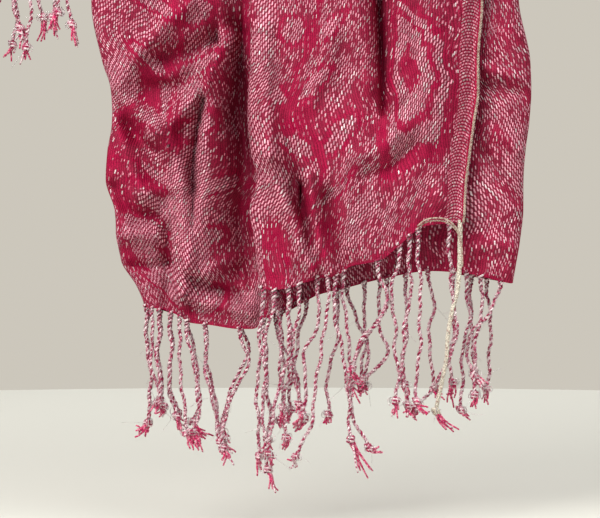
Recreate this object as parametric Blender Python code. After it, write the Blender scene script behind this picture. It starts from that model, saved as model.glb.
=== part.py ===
"""A long woven scarf with knotted fringes, worn open round a neck.

Metres, +Z up. The origin is the middle of the neck that holds the scarf. The wearer
faces -Y, and the long end hangs on the +X side. The cloth lies folded lengthwise in
three layers: a front panel, a middle layer and a back layer, whose outer edge turns
in behind it.
"""
import math

import bmesh
import bpy
import numpy as np

MM = 0.001

# The cloth's wall, and the gap where two stretches or a stretch and a fringe meet
WALL = 0.0012
SEAM_GAP = 0.0003

# How the scarf hangs
TAIL_MIDDLE = 0.1115
TAIL_DEPTH = -0.105
CHEST_LEVEL = -0.120
LONG_DROP = 0.700
SHORT_DROP = 0.480

# Depth of each layer towards the viewer, from the middle of the folded stack
FRONT, TUCK, MIDDLE, BACK, RETURN = 0.010, 0.004, -0.002, -0.010, -0.016

# Cells of the section between its fold lines: inner edge, front panel's edge,
# hidden tuck, pale selvedge, outer edge
CELLS = (7, 2, 7, 1)
INNER_LINE = 0
PANEL_LINE = CELLS[0]
TUCK_LINE = PANEL_LINE + CELLS[1]
SELVEDGE_LINE = TUCK_LINE + CELLS[2]
OUTER_LINE = SELVEDGE_LINE + CELLS[3]

# Fold lines of the long end, in millimetres. Columns: height above the hem's lowest
# point, then the places across the tail of the inner edge, the front panel's edge,
# the tuck, the pale selvedge and the outer edge, from the tail's middle line.
LONG_FOLDS = (
    (0, -82, -24, -6, 75, 99),
    (12, -84, -24, -6, 75, 99),
    (22, -87, -25, -6, 75, 100),
    (34, -93, -27, -6, 76, 101),
    (46, -96, -28, -6, 76, 102),
    (60, -99, -30, -6, 77, 104),
    (75, -102, -27, -6, 78, 106),
    (90, -101, -30, -6, 80, 107),
    (105, -100, -31, -6, 82, 108),
    (120, -99, -31, -6, 84, 109),
    (135, -105, -30, -6, 84, 109),
    (165, -109, -30, -6, 86, 104),
    (300, -101, -28, -6, 80, 98),
    (450, -88, -24, -5, 70, 86),
    (580, -72, -20, -4, 57, 71),
    (700, -63, -18, -4, 50, 62),
)
SHORT_FOLDS = (
    (0, -103, -30, -8, 78, 100),
    (60, -108, -33, -9, 82, 104),
    (140, -104, -30, -8, 80, 101),
    (260, -92, -26, -6, 71, 89),
    (380, -74, -21, -5, 58, 72),
    (480, -63, -18, -4, 50, 62),
)

# Hem of each layer, in millimetres. Columns: place across, height of the hem there.
LONG_HEM = {
    "front": ((-25, 21), (-20, 20), (-11, 21), (-3, 24), (4, 26), (14, 28), (20, 32),
              (34, 35), (43, 42), (56, 52), (76, 54)),
    "tuck": ((-25, 21), (-6, 15)),
    "middle": ((-84, 11), (-80, 10), (-70, 7), (-64, 3), (-54, 2), (-38, 0), (-30, 0),
               (-25, 4), (-6, 15)),
    "back": ((-84, 11), (-56, 8), (-21, 5), (-11, 9), (4, 17), (20, 21), (36, 25),
             (60, 29), (77, 28), (92, 25), (100, 23)),
    "return": ((76, 27), (100, 23)),
}
SHORT_HEM = {
    "front": ((-30, 12), (10, 19), (45, 24), (78, 33)),
    "tuck": ((-30, 12), (-8, 9)),
    "middle": ((-103, 6), (-60, 0), (-8, 9)),
    "back": ((-103, 6), (-30, 4), (30, 12), (100, 20)),
    "return": ((78, 24), (100, 20)),
}

# Lengthwise waves that all layers share: height above the hem, depth of a wave.
# They gather the cloth to the width that it has round the neck.
LONG_WAVES = ((0, 0.6), (165, 1.2), (300, 4.5), (450, 7.5), (580, 9.0), (700, 9.6))
SHORT_WAVES = ((0, 1.6), (140, 3.0), (260, 6.5), (380, 9.0), (480, 9.6))
WAVES_ACROSS = 4
NECK_WAVE = 9.6
WAVE_DRIFT = 0.8

# Largest folds, in millimetres. Columns: start across, start height, end across,
# end height, half width and depth at the start, half width and depth at the end.
# A plus depth is a ridge towards the viewer and a minus depth is a hollow.
LONG_CREASES = (
    (33, 280, 36, 112, 11, -13, 4, -4),
    (-46, 145, -55, 95, 8, 7, 8, 8),
    (-55, 95, -65, 25, 8, 8, 9, 4),
    (-37, 190, -34, 118, 6, -7, 5, -3),
    (-42, 95, -40, 30, 9, -4, 9, -2),
    (-80, 160, -92, 110, 9, 5, 9, 4),
    (-92, 62, -88, 54, 8, -5, 8, -5),
    (-90, 46, -86, 38, 9, 6, 9, 4),
    (0, 72, 14, 30, 6, 4, 5, 3),
    (-8, 74, -4, 58, 6, -4, 5, -3),
    (62, 200, 60, 80, 12, 5, 12, 3),
    (96, 150, 90, 40, 9, 4, 10, 3),
)
SHORT_CREASES = (
    (30, 240, 24, 70, 12, -11, 7, -4),
    (-55, 190, -60, 20, 11, 8, 10, 4),
    (-84, 150, -80, 30, 9, -5, 9, -3),
    (62, 210, 66, 40, 12, 6, 11, 3),
)

# Middle line of the neck stretch from the long end's chest to the nape. Columns:
# place x, y, z in metres, then the direction from its inner to its outer edge.
NECK_PATH = (
    (0.1115, -0.105, -0.120, 1.00, 0.00, 0.00),
    (0.1135, -0.098, -0.085, 1.00, 0.00, -0.05),
    (0.1170, -0.072, -0.052, 0.97, 0.00, -0.22),
    (0.1210, -0.035, -0.034, 0.94, 0.00, -0.34),
    (0.1170, 0.012, -0.026, 0.90, 0.14, -0.42),
    (0.0940, 0.060, -0.014, 0.68, 0.46, -0.57),
    (0.0520, 0.090, -0.004, 0.36, 0.50, -0.79),
    (0.0000, 0.100, 0.000, 0.00, 0.50, -0.87),
)
NECK_RINGS = 14

# Rings down each tail
LONG_UPPER_RINGS = 9
LONG_LOWER_RINGS = 12
LONG_LOWER_HEIGHT = 185
SHORT_RINGS = 11

# Fringe
STRIP_DEPTH = 0.006
STRIP_WALL = 0.0022
STRAND_WIDTH = 0.0024
KNOT_WIDTH = 0.0046
TIP_WIDTH = 0.0036
NECK_ABOVE_KNOT = 0.0035
STRAND_CLEARANCE = 0.0005
LEAN_STEPS = 160
LEVEL_STEP = 0.002

# Strands of the long end, in millimetres. Columns: layer, place of the root across,
# sideways sway a quarter, half and three quarters of the way to the knot, at the
# knot and at the tip, then the drop to the knot and to the tip.
LONG_STRANDS = (
    ("middle", -82.0, 1.5, 3.2, 3.2, 2.7, -2.2, 57, 66),
    ("middle", -77.5, 1.5, 0.5, 4.5, 6.2, 7.0, 49, 56),
    ("middle", -73.0, -1.0, -0.9, 0.9, 1.5, -2.5, 42, 48),
    ("middle", -67.5, -0.5, -1.0, 0.0, 3.5, 2.5, 50, 58),
    ("middle", -61.5, -1.7, 0.9, 1.0, 1.8, 4.8, 59, 68),
    ("middle", -57.5, 4.0, 5.2, 7.0, 4.5, 7.5, 58, 64),
    ("middle", -51.0, 1.0, 3.3, 7.0, 7.7, 8.0, 61, 68),
    ("middle", -36.0, 2.5, -6.5, -10.0, -5.7, -5.4, 60, 68),
    ("middle", -24.0, 1.0, 2.0, 3.0, 2.0, 3.0, 54, 62),
    ("middle", -15.0, 0.0, 1.5, 1.0, -1.0, 0.0, 50, 58),
    ("tuck", -17.0, 1.0, 2.0, 2.0, 3.0, 4.0, 52, 60),
    ("tuck", -10.5, 0.0, 1.0, 3.0, 4.0, 3.0, 48, 56),
    ("front", -24.0, -1.5, -2.5, -3.0, -1.5, -3.7, 78, 86),
    ("front", -18.5, -4.5, -5.0, -5.3, -2.9, 0.6, 84, 97),
    ("front", -11.5, 0.6, -2.6, -8.0, -9.3, -9.0, 77, 85),
    ("front", -6.0, -1.6, -5.2, -7.0, -7.0, -6.0, 71, 78),
    ("front", 3.5, 0.0, -6.3, -6.5, -7.0, -7.5, 62, 69),
    ("front", 8.5, -1.5, -5.7, -7.5, -16.0, -18.0, 84, 90),
    ("front", 12.0, 0.5, 5.0, 6.5, 8.0, 13.5, 76, 94),
    ("front", 16.0, 1.5, 4.5, 4.0, 12.5, 15.0, 82, 89),
    ("front", 33.5, 3.7, 0.5, -10.2, -13.0, -14.0, 48, 55),
    ("front", 44.0, -3.5, -2.0, -0.5, 5.0, 6.5, 74, 81),
    ("front", 49.0, 0.7, -1.7, -3.7, -6.2, -5.0, 76, 84),
    ("front", 53.5, 0.7, 1.2, 0.0, -1.0, 3.5, 80, 90),
    ("front", 69.5, 0.5, 3.5, -1.0, -16.2, -19.5, 87, 92),
    ("front", 74.8, -0.5, -5.0, -7.5, -12.0, -7.0, 89, 101),
    ("back", -78.0, 1.0, 2.0, 1.5, 0.5, 2.0, 52, 60),
    ("back", -70.0, 0.5, 2.5, 3.0, 4.0, 5.0, 46, 54),
    ("back", -62.0, -1.0, 0.0, 2.0, 3.0, 1.5, 50, 58),
    ("back", -54.0, 1.0, 0.0, -2.0, -1.0, 0.5, 44, 52),
    ("back", -46.0, 0.0, 1.5, 2.5, 1.0, 0.0, 51, 59),
    ("back", -38.0, -0.5, -2.0, -1.0, 1.0, 2.0, 47, 55),
    ("back", -29.0, 1.0, 2.0, 0.5, -1.0, 0.5, 50, 58),
    ("back", -17.5, 4.0, 10.5, 12.0, 13.5, 14.0, 46, 53),
    ("back", -2.5, -3.5, -6.0, -7.5, -8.0, -7.5, 49, 56),
    ("back", 13.5, 0.5, -3.0, -5.0, -5.0, -4.5, 57, 64),
    ("back", 18.5, 5.0, 10.0, 7.0, 7.0, 8.0, 42, 52),
    ("back", 27.0, 0.5, 1.0, 1.5, 0.5, 1.0, 46, 54),
    ("back", 35.0, 0.0, 0.3, 4.0, -7.5, -8.0, 44, 52),
    ("back", 38.5, -1.0, -10.0, -16.0, -17.0, -16.0, 46, 55),
    ("back", 48.0, 1.0, 0.0, -1.0, 0.0, 1.5, 50, 58),
    ("back", 59.5, 3.0, 0.5, 1.0, 4.0, 6.5, 53, 60),
    ("back", 72.0, 1.0, 0.0, -1.5, 0.5, -1.5, 50, 61),
    ("back", 79.0, 1.0, -1.5, -2.5, -3.0, 1.0, 63, 69),
    ("back", 86.0, 0.0, -2.3, -4.0, -3.0, -0.5, 54, 60),
    ("back", 95.5, -6.0, -14.0, -16.5, -13.7, -10.0, 42, 48),
    ("return", 90.0, 1.0, 2.0, 1.0, -0.5, 0.5, 50, 57),
    ("return", 82.0, -0.5, 0.5, 2.0, 1.0, 2.0, 54, 61),
)

# Strands of the short end by layer, in millimetres: first and last root across, count
SHORT_STRANDS = {
    "middle": (-102, -16, 10),
    "tuck": (-24, -14, 2),
    "front": (-30, 77, 11),
    "back": (-96, 94, 17),
    "return": (82, 93, 2),
}
SHORT_KNOT_DROP = 74
SHORT_TIP_DROP = 84

CLOTH_COLOUR = (0.42, 0.06, 0.12, 1.0)
FRINGE_COLOUR = (0.55, 0.22, 0.28, 1.0)


def interpolate(table, place):
    """Read the columns of a table at a place in its first column."""
    rows = np.array(table, dtype=float)
    columns = [np.interp(place, rows[:, 0], column) for column in rows.T[1:]]
    return np.array(columns)


def stations(fold_lines):
    """Spread the section's cells evenly between its fold lines."""
    places = [fold_lines[0]]
    for cells, start, end in zip(CELLS, fold_lines, fold_lines[1:]):
        places += [start + (end - start) * step / cells for step in range(1, cells + 1)]
    return np.array(places)


def section_plan():
    """List the section's points from the pale selvedge to the other one, behind.

    Each row is the layer, the station across, a sideways shift that rounds a fold,
    and the depth in the stack.
    """
    panel_turn = (FRONT - TUCK) / 2
    tuck_turn = (TUCK - MIDDLE) / 2
    inner_turn = (MIDDLE - BACK) / 2
    outer_turn = (BACK - RETURN) / 2
    plan = [("front", station, 0, FRONT) for station in range(SELVEDGE_LINE, PANEL_LINE, -1)]
    plan.append(("front", PANEL_LINE, panel_turn, FRONT))
    plan.append(("front", PANEL_LINE, 0, (FRONT + TUCK) / 2))
    plan.append(("tuck", PANEL_LINE, panel_turn, TUCK))
    plan += [("tuck", station, 0, TUCK) for station in range(PANEL_LINE + 1, TUCK_LINE)]
    plan.append(("tuck", TUCK_LINE, -tuck_turn, TUCK))
    plan.append(("tuck", TUCK_LINE, 0, (TUCK + MIDDLE) / 2))
    plan.append(("middle", TUCK_LINE, -tuck_turn, MIDDLE))
    plan += [("middle", station, 0, MIDDLE) for station in range(TUCK_LINE - 1, INNER_LINE, -1)]
    plan.append(("middle", INNER_LINE, inner_turn, MIDDLE))
    plan.append(("middle", INNER_LINE, 0, (MIDDLE + BACK) / 2))
    plan.append(("back", INNER_LINE, inner_turn, BACK))
    plan += [("back", station, 0, BACK) for station in range(INNER_LINE + 1, OUTER_LINE)]
    plan.append(("back", OUTER_LINE, -outer_turn, BACK))
    plan.append(("back", OUTER_LINE, 0, (BACK + RETURN) / 2))
    plan.append(("return", OUTER_LINE, -outer_turn, RETURN))
    plan.append(("return", SELVEDGE_LINE, 0, RETURN))
    return plan


PLAN = section_plan()


def wave(places, across, amplitude, phase):
    """Depth of the shared lengthwise waves at a place across, in metres."""
    station = np.interp(across, places, range(len(places)))
    angle = 2 * math.pi * WAVES_ACROSS * station / OUTER_LINE
    return amplitude * MM * math.sin(angle + phase)


def crease(creases, across, height):
    """Depth of the large folds at a point of a tail, all in millimetres."""
    depth = 0.0
    for x1, z1, x2, z2, width1, depth1, width2, depth2 in creases:
        run = ((x2 - x1) ** 2 + (z2 - z1) ** 2)
        along = ((across - x1) * (x2 - x1) + (height - z1) * (z2 - z1)) / run
        along = min(1.0, max(0.0, along))
        away = math.hypot(across - x1 - along * (x2 - x1), height - z1 - along * (z2 - z1))
        width = width1 + (width2 - width1) * along
        depth += (depth1 + (depth2 - depth1) * along) * math.exp(-(away / width) ** 2)
    return depth


def tail_point(item, height, tail):
    """Point of a tail at a height in millimetres, as across, depth and height."""
    _, station, shift, layer_depth = item
    places = stations(interpolate(tail["folds"], height))
    across = places[station] + shift / MM
    amplitude = interpolate(tail["waves"], height)[0]
    depth = layer_depth + wave(places, across, amplitude, tail["phase"])
    depth += crease(tail["creases"], across, height) * MM
    return across * MM, depth, height * MM


def tail_grid(tail, fractions):
    """Grid of points down a tail, from the chest level to its hem."""
    drop = tail["drop"] / MM
    low_stations = stations(interpolate(tail["folds"], 20))
    rows = []
    for fraction in fractions:
        row = []
        for item in PLAN:
            layer, station, shift, _ = item
            hem = interpolate(tail["hem"][layer], low_stations[station])[0]
            height = drop + (hem - drop) * fraction
            across, depth, rise = tail_point(item, height, tail)
            level = CHEST_LEVEL - tail["drop"] + rise
            row.append((tail["side"] * (TAIL_MIDDLE + across), TAIL_DEPTH - depth, level))
        rows.append(row)
    return np.array(rows)


def unit(vectors):
    """Scale vectors to length one."""
    return vectors / np.linalg.norm(vectors, axis=-1, keepdims=True)


def row_offsets(row, down):
    """Mitred sideways direction at each point of one section."""
    along = unit(np.diff(row, axis=0))
    normals = unit(np.cross(along, down[:-1] + down[1:]))
    before = np.vstack([normals[:1], normals])
    after = np.vstack([normals, normals[-1:]])
    mean = unit(before + after)
    lengthening = 1 / np.clip(np.sum(mean * after, axis=1), 0.62, 1.0)
    return mean * lengthening[:, None]


def wall_offsets(grid, end_direction, flat_rows):
    """Direction in which the wall has its thickness, at each point of a grid."""
    down = unit(np.gradient(grid, axis=0))
    for row in flat_rows:
        down[row] = end_direction[row]
    offsets = np.array([row_offsets(row, down[index]) for index, row in enumerate(grid)])
    for row in flat_rows:
        across = np.sum(offsets[row] * end_direction[row], axis=1)
        offsets[row] -= across[:, None] * end_direction[row]
    return offsets


def material(name, colour, roughness):
    """A plain material for one piece."""
    finish = bpy.data.materials.new(name)
    finish.use_nodes = True
    shader = finish.node_tree.nodes["Principled BSDF"]
    shader.inputs["Base Color"].default_value = colour
    shader.inputs["Roughness"].default_value = roughness
    shader.inputs["Metallic"].default_value = 0.0
    return finish


def add_object(name, points, faces, colour, roughness):
    """Make one closed mesh object, with its faces turned outwards."""
    mesh = bpy.data.meshes.new(name)
    mesh.from_pydata([tuple(point) for point in points], [], faces)
    mesh.update()
    shape = bmesh.new()
    shape.from_mesh(mesh)
    bmesh.ops.recalc_face_normals(shape, faces=shape.faces)
    shape.to_mesh(mesh)
    shape.free()
    mesh.materials.append(material(name, colour, roughness))
    piece = bpy.data.objects.new(name, mesh)
    bpy.context.collection.objects.link(piece)
    return piece


def add_wall(name, grid, offsets):
    """Closed wall of cloth round a grid of points."""
    rows, columns = grid.shape[:2]
    outer = (grid + offsets * WALL / 2).reshape(-1, 3)
    inner = (grid - offsets * WALL / 2).reshape(-1, 3)
    back = rows * columns
    faces = []
    for row in range(rows - 1):
        for column in range(columns - 1):
            corner = row * columns + column
            across = (corner, corner + 1, corner + columns + 1)
            down = (corner, corner + columns + 1, corner + columns)
            for triangle in (across, down):
                faces.append(triangle)
                faces.append(tuple(back + index for index in reversed(triangle)))
    rim = [column for column in range(columns)]
    rim += [row * columns + columns - 1 for row in range(1, rows)]
    rim += [(rows - 1) * columns + column for column in range(columns - 2, -1, -1)]
    rim += [row * columns for row in range(rows - 2, 0, -1)]
    for start, end in zip(rim, rim[1:] + rim[:1]):
        faces.append((end, start, back + start, back + end))
    return add_object(name, np.vstack([outer, inner]), faces, CLOTH_COLOUR, 0.85)


def spline(points, samples):
    """Smooth curve through a list of rows, at even steps of its length."""
    padded = np.vstack([2 * points[0] - points[1], points, 2 * points[-1] - points[-2]])
    fine = []
    for index in range(1, len(padded) - 2):
        before, start, end, after = padded[index - 1:index + 3]
        for step in np.linspace(0, 1, 12, endpoint=False):
            linear = (end - before) * step
            square = (2 * before - 5 * start + 4 * end - after) * step ** 2
            cube = (3 * start - before - 3 * end + after) * step ** 3
            fine.append((2 * start + linear + square + cube) / 2)
    fine = np.array(fine + [padded[-2]])
    lengths = np.concatenate([[0], np.cumsum(np.linalg.norm(np.diff(fine[:, :3], axis=0), axis=1))])
    places = np.linspace(0, lengths[-1], samples)
    return np.array([np.interp(places, lengths, column) for column in fine.T]).T


def neck_grid():
    """Grid of points over the shoulders and round the nape, and its ring directions."""
    half = np.array(NECK_PATH)
    mirrored = half[-2::-1] * (-1, 1, 1, -1, 1, 1)
    path = spline(np.vstack([half, mirrored]), NECK_RINGS)
    middle = path[:, :3]
    forward = unit(np.gradient(middle, axis=0))
    forward[0] = (0, 0, 1)
    forward[-1] = (0, 0, -1)
    middle[0] += forward[0] * SEAM_GAP
    middle[-1] -= forward[-1] * SEAM_GAP
    across = path[:, 3:]
    across = unit(across - np.sum(across * forward, axis=1)[:, None] * forward)
    outward = np.cross(across, forward)
    places = stations(interpolate(LONG_FOLDS, LONG_DROP / MM)) * MM
    grid = []
    for ring in range(NECK_RINGS):
        phase = WAVE_DRIFT * ring / (NECK_RINGS - 1)
        row = []
        for _, station, shift, layer_depth in PLAN:
            place = places[station] + shift
            depth = layer_depth + wave(places, place, NECK_WAVE, phase)
            row.append(middle[ring] + across[ring] * place + outward[ring] * depth)
        grid.append(row)
    return np.array(grid), forward


def hem_outline(grid):
    """Lower edge of a tail, with the horizontal directions across its wall."""
    edge = grid[-1]
    flat = edge * (1, 1, 0)
    down = np.tile((0.0, 0.0, -1.0), (len(edge), 1))
    return edge, row_offsets(flat, down)


def root_places(tail, edge, strands):
    """Length along the hem at which each strand is rooted."""
    lengths = np.concatenate([[0], np.cumsum(np.linalg.norm(np.diff(edge, axis=0), axis=1))])
    across = (tail["side"] * edge[:, 0] - TAIL_MIDDLE) / MM
    places = []
    for strand in strands:
        rows = [index for index, item in enumerate(PLAN) if item[0] == strand[0]]
        order = sorted(rows, key=lambda index: across[index])
        places.append(np.interp(strand[1], across[order], lengths[order]))
    return np.array(places), lengths


def strand_routes(tail, roots, strands):
    """Middle line of each strand: its rings' places and half widths."""
    routes = []
    for root, strand in zip(roots, strands):
        _, _, quarter, half, late, knot, tip, knot_drop, tip_drop = strand
        neck_drop = knot_drop - NECK_ABOVE_KNOT / MM
        drops = np.array([0, 0.25 * knot_drop, 0.5 * knot_drop, 0.75 * knot_drop,
                          neck_drop, knot_drop, tip_drop])
        neck = late + (knot - late) * (neck_drop / knot_drop - 0.75) / 0.25
        sways = np.array([0, quarter, half, late, neck, knot, tip])
        widths = np.array([STRAND_WIDTH] * 5 + [KNOT_WIDTH, TIP_WIDTH])
        centres = np.tile(root, (len(drops), 1))
        centres[:, 0] += tail["side"] * sways * MM
        centres[:, 2] -= STRIP_DEPTH + drops * MM
        routes.append((centres, widths / 2))
    return routes


def part_strands(routes):
    """Lean strands towards the viewer or away until none touches another."""
    top = max(centres[0, 2] for centres, _ in routes)
    bottom = min(centres[-1, 2] for centres, _ in routes)
    levels = np.arange(bottom, top, LEVEL_STEP)
    across, depth, share, reach = [], [], [], []
    for centres, halves in routes:
        rising = centres[::-1, 2]
        inside = (levels >= rising[0] - KNOT_WIDTH) & (levels <= rising[-1])
        across.append(np.where(inside, np.interp(levels, rising, centres[::-1, 0]), np.nan))
        depth.append(np.full(len(levels), centres[0, 1]))
        share.append((rising[-1] - levels) / (rising[-1] - rising[0]))
        reach.append(np.interp(levels, rising, halves[::-1]) * math.sqrt(2))
    across, depth, share, reach = (np.array(part) for part in (across, depth, share, reach))
    share = np.clip(share, 0, 1)
    sideways = np.abs(across[:, None] - across[None, :])
    need = reach[:, None] + reach[None, :] + STRAND_CLEARANCE
    room = np.sqrt(np.clip(need ** 2 - sideways ** 2, 0, None))
    room = np.nan_to_num(room)
    lean = np.zeros(len(routes))
    order = np.sign(np.arange(len(routes))[:, None] - np.arange(len(routes))[None, :])
    for _ in range(LEAN_STEPS):
        place = depth + lean[:, None] * share
        apart = place[:, None] - place[None, :]
        side = np.where(np.abs(apart) > 1e-6, np.sign(apart), order[:, :, None])
        short = np.clip(room - np.abs(apart), 0, None) * share[:, None]
        push = np.max(short, axis=2) * side[np.arange(len(routes))[:, None],
                                            np.arange(len(routes))[None, :],
                                            np.argmax(short, axis=2)]
        lean += 0.3 * push.sum(axis=1)
    for (centres, _), amount in zip(routes, lean):
        fall = centres[0, 2] - centres[:, 2]
        centres[:, 1] += amount * fall / fall[-1]
    return routes


def hem_point(places, lengths, values):
    """Read points along the hem at lengths along it."""
    return np.array([np.interp(places, lengths, column) for column in values.T]).T


def add_fringe(name, tail, grid, strands):
    """Strip along a hem, with the strands drawn out of its lower edge."""
    edge, offsets = hem_outline(grid)
    roots, lengths = root_places(tail, edge, strands)
    order = np.argsort(roots)
    strands = [strands[index] for index in order]
    roots = roots[order]
    half = STRAND_WIDTH / 2
    clear = [length for length in lengths if np.min(np.abs(roots - length)) > half * 1.4]
    clear = sorted(set(clear) | {lengths[0], lengths[-1]})
    places = np.array(sorted(clear + list(roots - half) + list(roots + half)))
    middle = hem_point(places, lengths, edge)
    side = hem_point(places, lengths, offsets) * STRIP_WALL / 2
    top = middle - (0, 0, SEAM_GAP)
    low = middle - (0, 0, STRIP_DEPTH)
    count = len(places)
    points = list(top + side) + list(top - side) + list(low + side) + list(low - side)
    faces = [(0, count, 3 * count, 2 * count),
             (count - 1, 3 * count - 1, 4 * count - 1, 2 * count - 1)]
    root_points = hem_point(roots, lengths, edge)
    routes = part_strands(strand_routes(tail, root_points, strands))
    starts = {int(np.argmin(np.abs(places - (root - half)))): index for index, root in enumerate(roots)}
    for cell in range(count - 1):
        faces.append((cell, cell + 1, count + cell + 1, count + cell))
        faces.append((cell, cell + 1, 2 * count + cell + 1, 2 * count + cell))
        faces.append((count + cell, count + cell + 1, 3 * count + cell + 1, 3 * count + cell))
        ring = [2 * count + cell, 2 * count + cell + 1, 3 * count + cell + 1, 3 * count + cell]
        if cell not in starts:
            faces.append(tuple(ring))
            continue
        centres, halves = routes[starts[cell]]
        sideways = unit((middle[cell + 1] - middle[cell]) * (1, 1, 0))
        outward = unit((side[cell] + side[cell + 1]) * (1, 1, 0))
        for centre, reach in list(zip(centres, halves))[1:]:
            corners = [centre - sideways * reach + outward * reach,
                       centre + sideways * reach + outward * reach,
                       centre + sideways * reach - outward * reach,
                       centre - sideways * reach - outward * reach]
            first = len(points)
            points += corners
            below = [first, first + 1, first + 2, first + 3]
            for corner in range(4):
                following = (corner + 1) % 4
                faces.append((ring[corner], ring[following], below[following], below[corner]))
            ring = below
        faces.append(tuple(ring))
    return add_object(name, points, faces, FRINGE_COLOUR, 0.7)


def short_strands():
    """Rows of the short end's strands, with uneven sways and drops."""
    rows = []
    for layer, (first, last, count) in SHORT_STRANDS.items():
        for root in np.linspace(first, last, count):
            turn = len(rows) * 2.4
            sways = [1.6 * math.sin(turn + step) * (step + 1) / 2 for step in range(5)]
            drop = SHORT_KNOT_DROP + 9 * math.sin(turn * 1.7)
            rows.append((layer, root, *sways, drop, drop + SHORT_TIP_DROP - SHORT_KNOT_DROP))
    return rows


def add_tail(name, tail, fractions):
    """One hanging tail of the cloth."""
    grid = tail_grid(tail, fractions)
    upright = {0: np.array([0.0, 0.0, -1.0]), len(grid) - 1: np.array([0.0, 0.0, -1.0])}
    offsets = wall_offsets(grid, upright, (0, len(grid) - 1))
    add_wall(name, grid, offsets)
    return grid


LONG_TAIL = {"side": 1, "drop": LONG_DROP, "folds": LONG_FOLDS, "hem": LONG_HEM,
             "waves": LONG_WAVES, "phase": 0.0, "creases": LONG_CREASES}
SHORT_TAIL = {"side": -1, "drop": SHORT_DROP, "folds": SHORT_FOLDS, "hem": SHORT_HEM,
              "waves": SHORT_WAVES, "phase": WAVE_DRIFT, "creases": SHORT_CREASES}


def main():
    for item in list(bpy.data.objects):
        bpy.data.objects.remove(item, do_unlink=True)
    upper = np.linspace(LONG_DROP / MM, LONG_LOWER_HEIGHT, LONG_UPPER_RINGS)
    lower = np.linspace(LONG_LOWER_HEIGHT, 0, LONG_LOWER_RINGS + 1)[1:]
    long_fractions = 1 - np.concatenate([upper, lower]) * MM / LONG_DROP
    long_grid = add_tail("long_end", LONG_TAIL, long_fractions)
    short_grid = add_tail("short_end", SHORT_TAIL, np.linspace(0, 1, SHORT_RINGS))
    grid, forward = neck_grid()
    ends = {0: forward[0], NECK_RINGS - 1: forward[-1]}
    add_wall("neck_stretch", grid, wall_offsets(grid, ends, (0, NECK_RINGS - 1)))
    add_fringe("fringe_long_end", LONG_TAIL, long_grid, LONG_STRANDS)
    add_fringe("fringe_short_end", SHORT_TAIL, short_grid, short_strands())


main()
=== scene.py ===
# %% [markdown]
# # A jacquard scarf with knotted fringes
#
# The scarf hangs open round a neck, and its two ends hang down in front. Each end is
# folded lengthwise into layers that lie on each other. This lesson builds the cloth as
# one long folded sheet, weaves its pattern with shader nodes, and twists its fringe
# out of small tubes.

# %% Load the frame
import math

import bpy
import numpy as np
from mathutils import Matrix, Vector, noise


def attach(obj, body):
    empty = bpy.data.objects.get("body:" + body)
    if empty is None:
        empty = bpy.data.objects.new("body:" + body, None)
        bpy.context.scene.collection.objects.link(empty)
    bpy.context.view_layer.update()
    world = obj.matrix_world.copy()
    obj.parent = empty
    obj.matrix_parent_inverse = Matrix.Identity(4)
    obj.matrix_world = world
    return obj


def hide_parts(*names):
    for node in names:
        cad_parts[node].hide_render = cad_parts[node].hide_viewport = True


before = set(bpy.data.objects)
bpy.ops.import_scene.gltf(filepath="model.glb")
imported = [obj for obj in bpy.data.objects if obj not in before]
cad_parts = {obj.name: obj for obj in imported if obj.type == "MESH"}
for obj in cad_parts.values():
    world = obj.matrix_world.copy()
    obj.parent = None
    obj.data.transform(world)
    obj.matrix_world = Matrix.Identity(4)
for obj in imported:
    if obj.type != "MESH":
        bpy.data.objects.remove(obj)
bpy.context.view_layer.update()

# %% [markdown]
# ## Camera and light
#
# The photo looks straight at the lower half of the longer end. A long lens keeps the
# folds flat and calm, so the camera stands back and looks very slightly down.

# %% Camera
MM = 0.001
VIEW_MIDDLE = Vector((0.106, -0.115, -0.7845))
VIEW_DISTANCE = 1.30
VIEW_WIDTH = 0.300
CAMERA_LEVEL = -0.760
SENSOR_WIDTH = 36.0


def aim(thing, place, target):
    """Put a camera or a lamp at a place and turn it to a target."""
    thing.location = place
    thing.rotation_euler = (Vector(target) - Vector(place)).to_track_quat("-Z", "Y").to_euler()
    bpy.context.scene.collection.objects.link(thing)


lens = bpy.data.cameras.new("camera")
lens.sensor_width = SENSOR_WIDTH
lens.lens = SENSOR_WIDTH * VIEW_DISTANCE / VIEW_WIDTH
camera = bpy.data.objects.new("camera", lens)
aim(camera, (VIEW_MIDDLE.x, VIEW_MIDDLE.y - VIEW_DISTANCE, CAMERA_LEVEL), VIEW_MIDDLE)
bpy.context.scene.camera = camera
print("lens", round(lens.lens, 1), "mm")

# %% [markdown]
# Folds show through their shadows, and hard lamps would draw black edges beside every
# one. So the lamps are big soft panels: a key light from the upper left, a second one
# from above on the right, and a weak one behind that lifts the scarf's back and the
# floor. The world glows dimly on the cloth, while the camera sees a paler backdrop.

# %% Light
BACKDROP_TONE = (0.605, 0.570, 0.500, 1.0)
GLOW_TONE = (1.0, 0.985, 0.96, 1.0)
GLOW = 0.34


def add_panel(name, place, target, size, power, tone):
    """A square lamp that gives a soft light."""
    lamp = bpy.data.lights.new(name, "AREA")
    lamp.size = size
    lamp.energy = power
    lamp.color = tone
    aim(bpy.data.objects.new(name, lamp), place, target)


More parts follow.
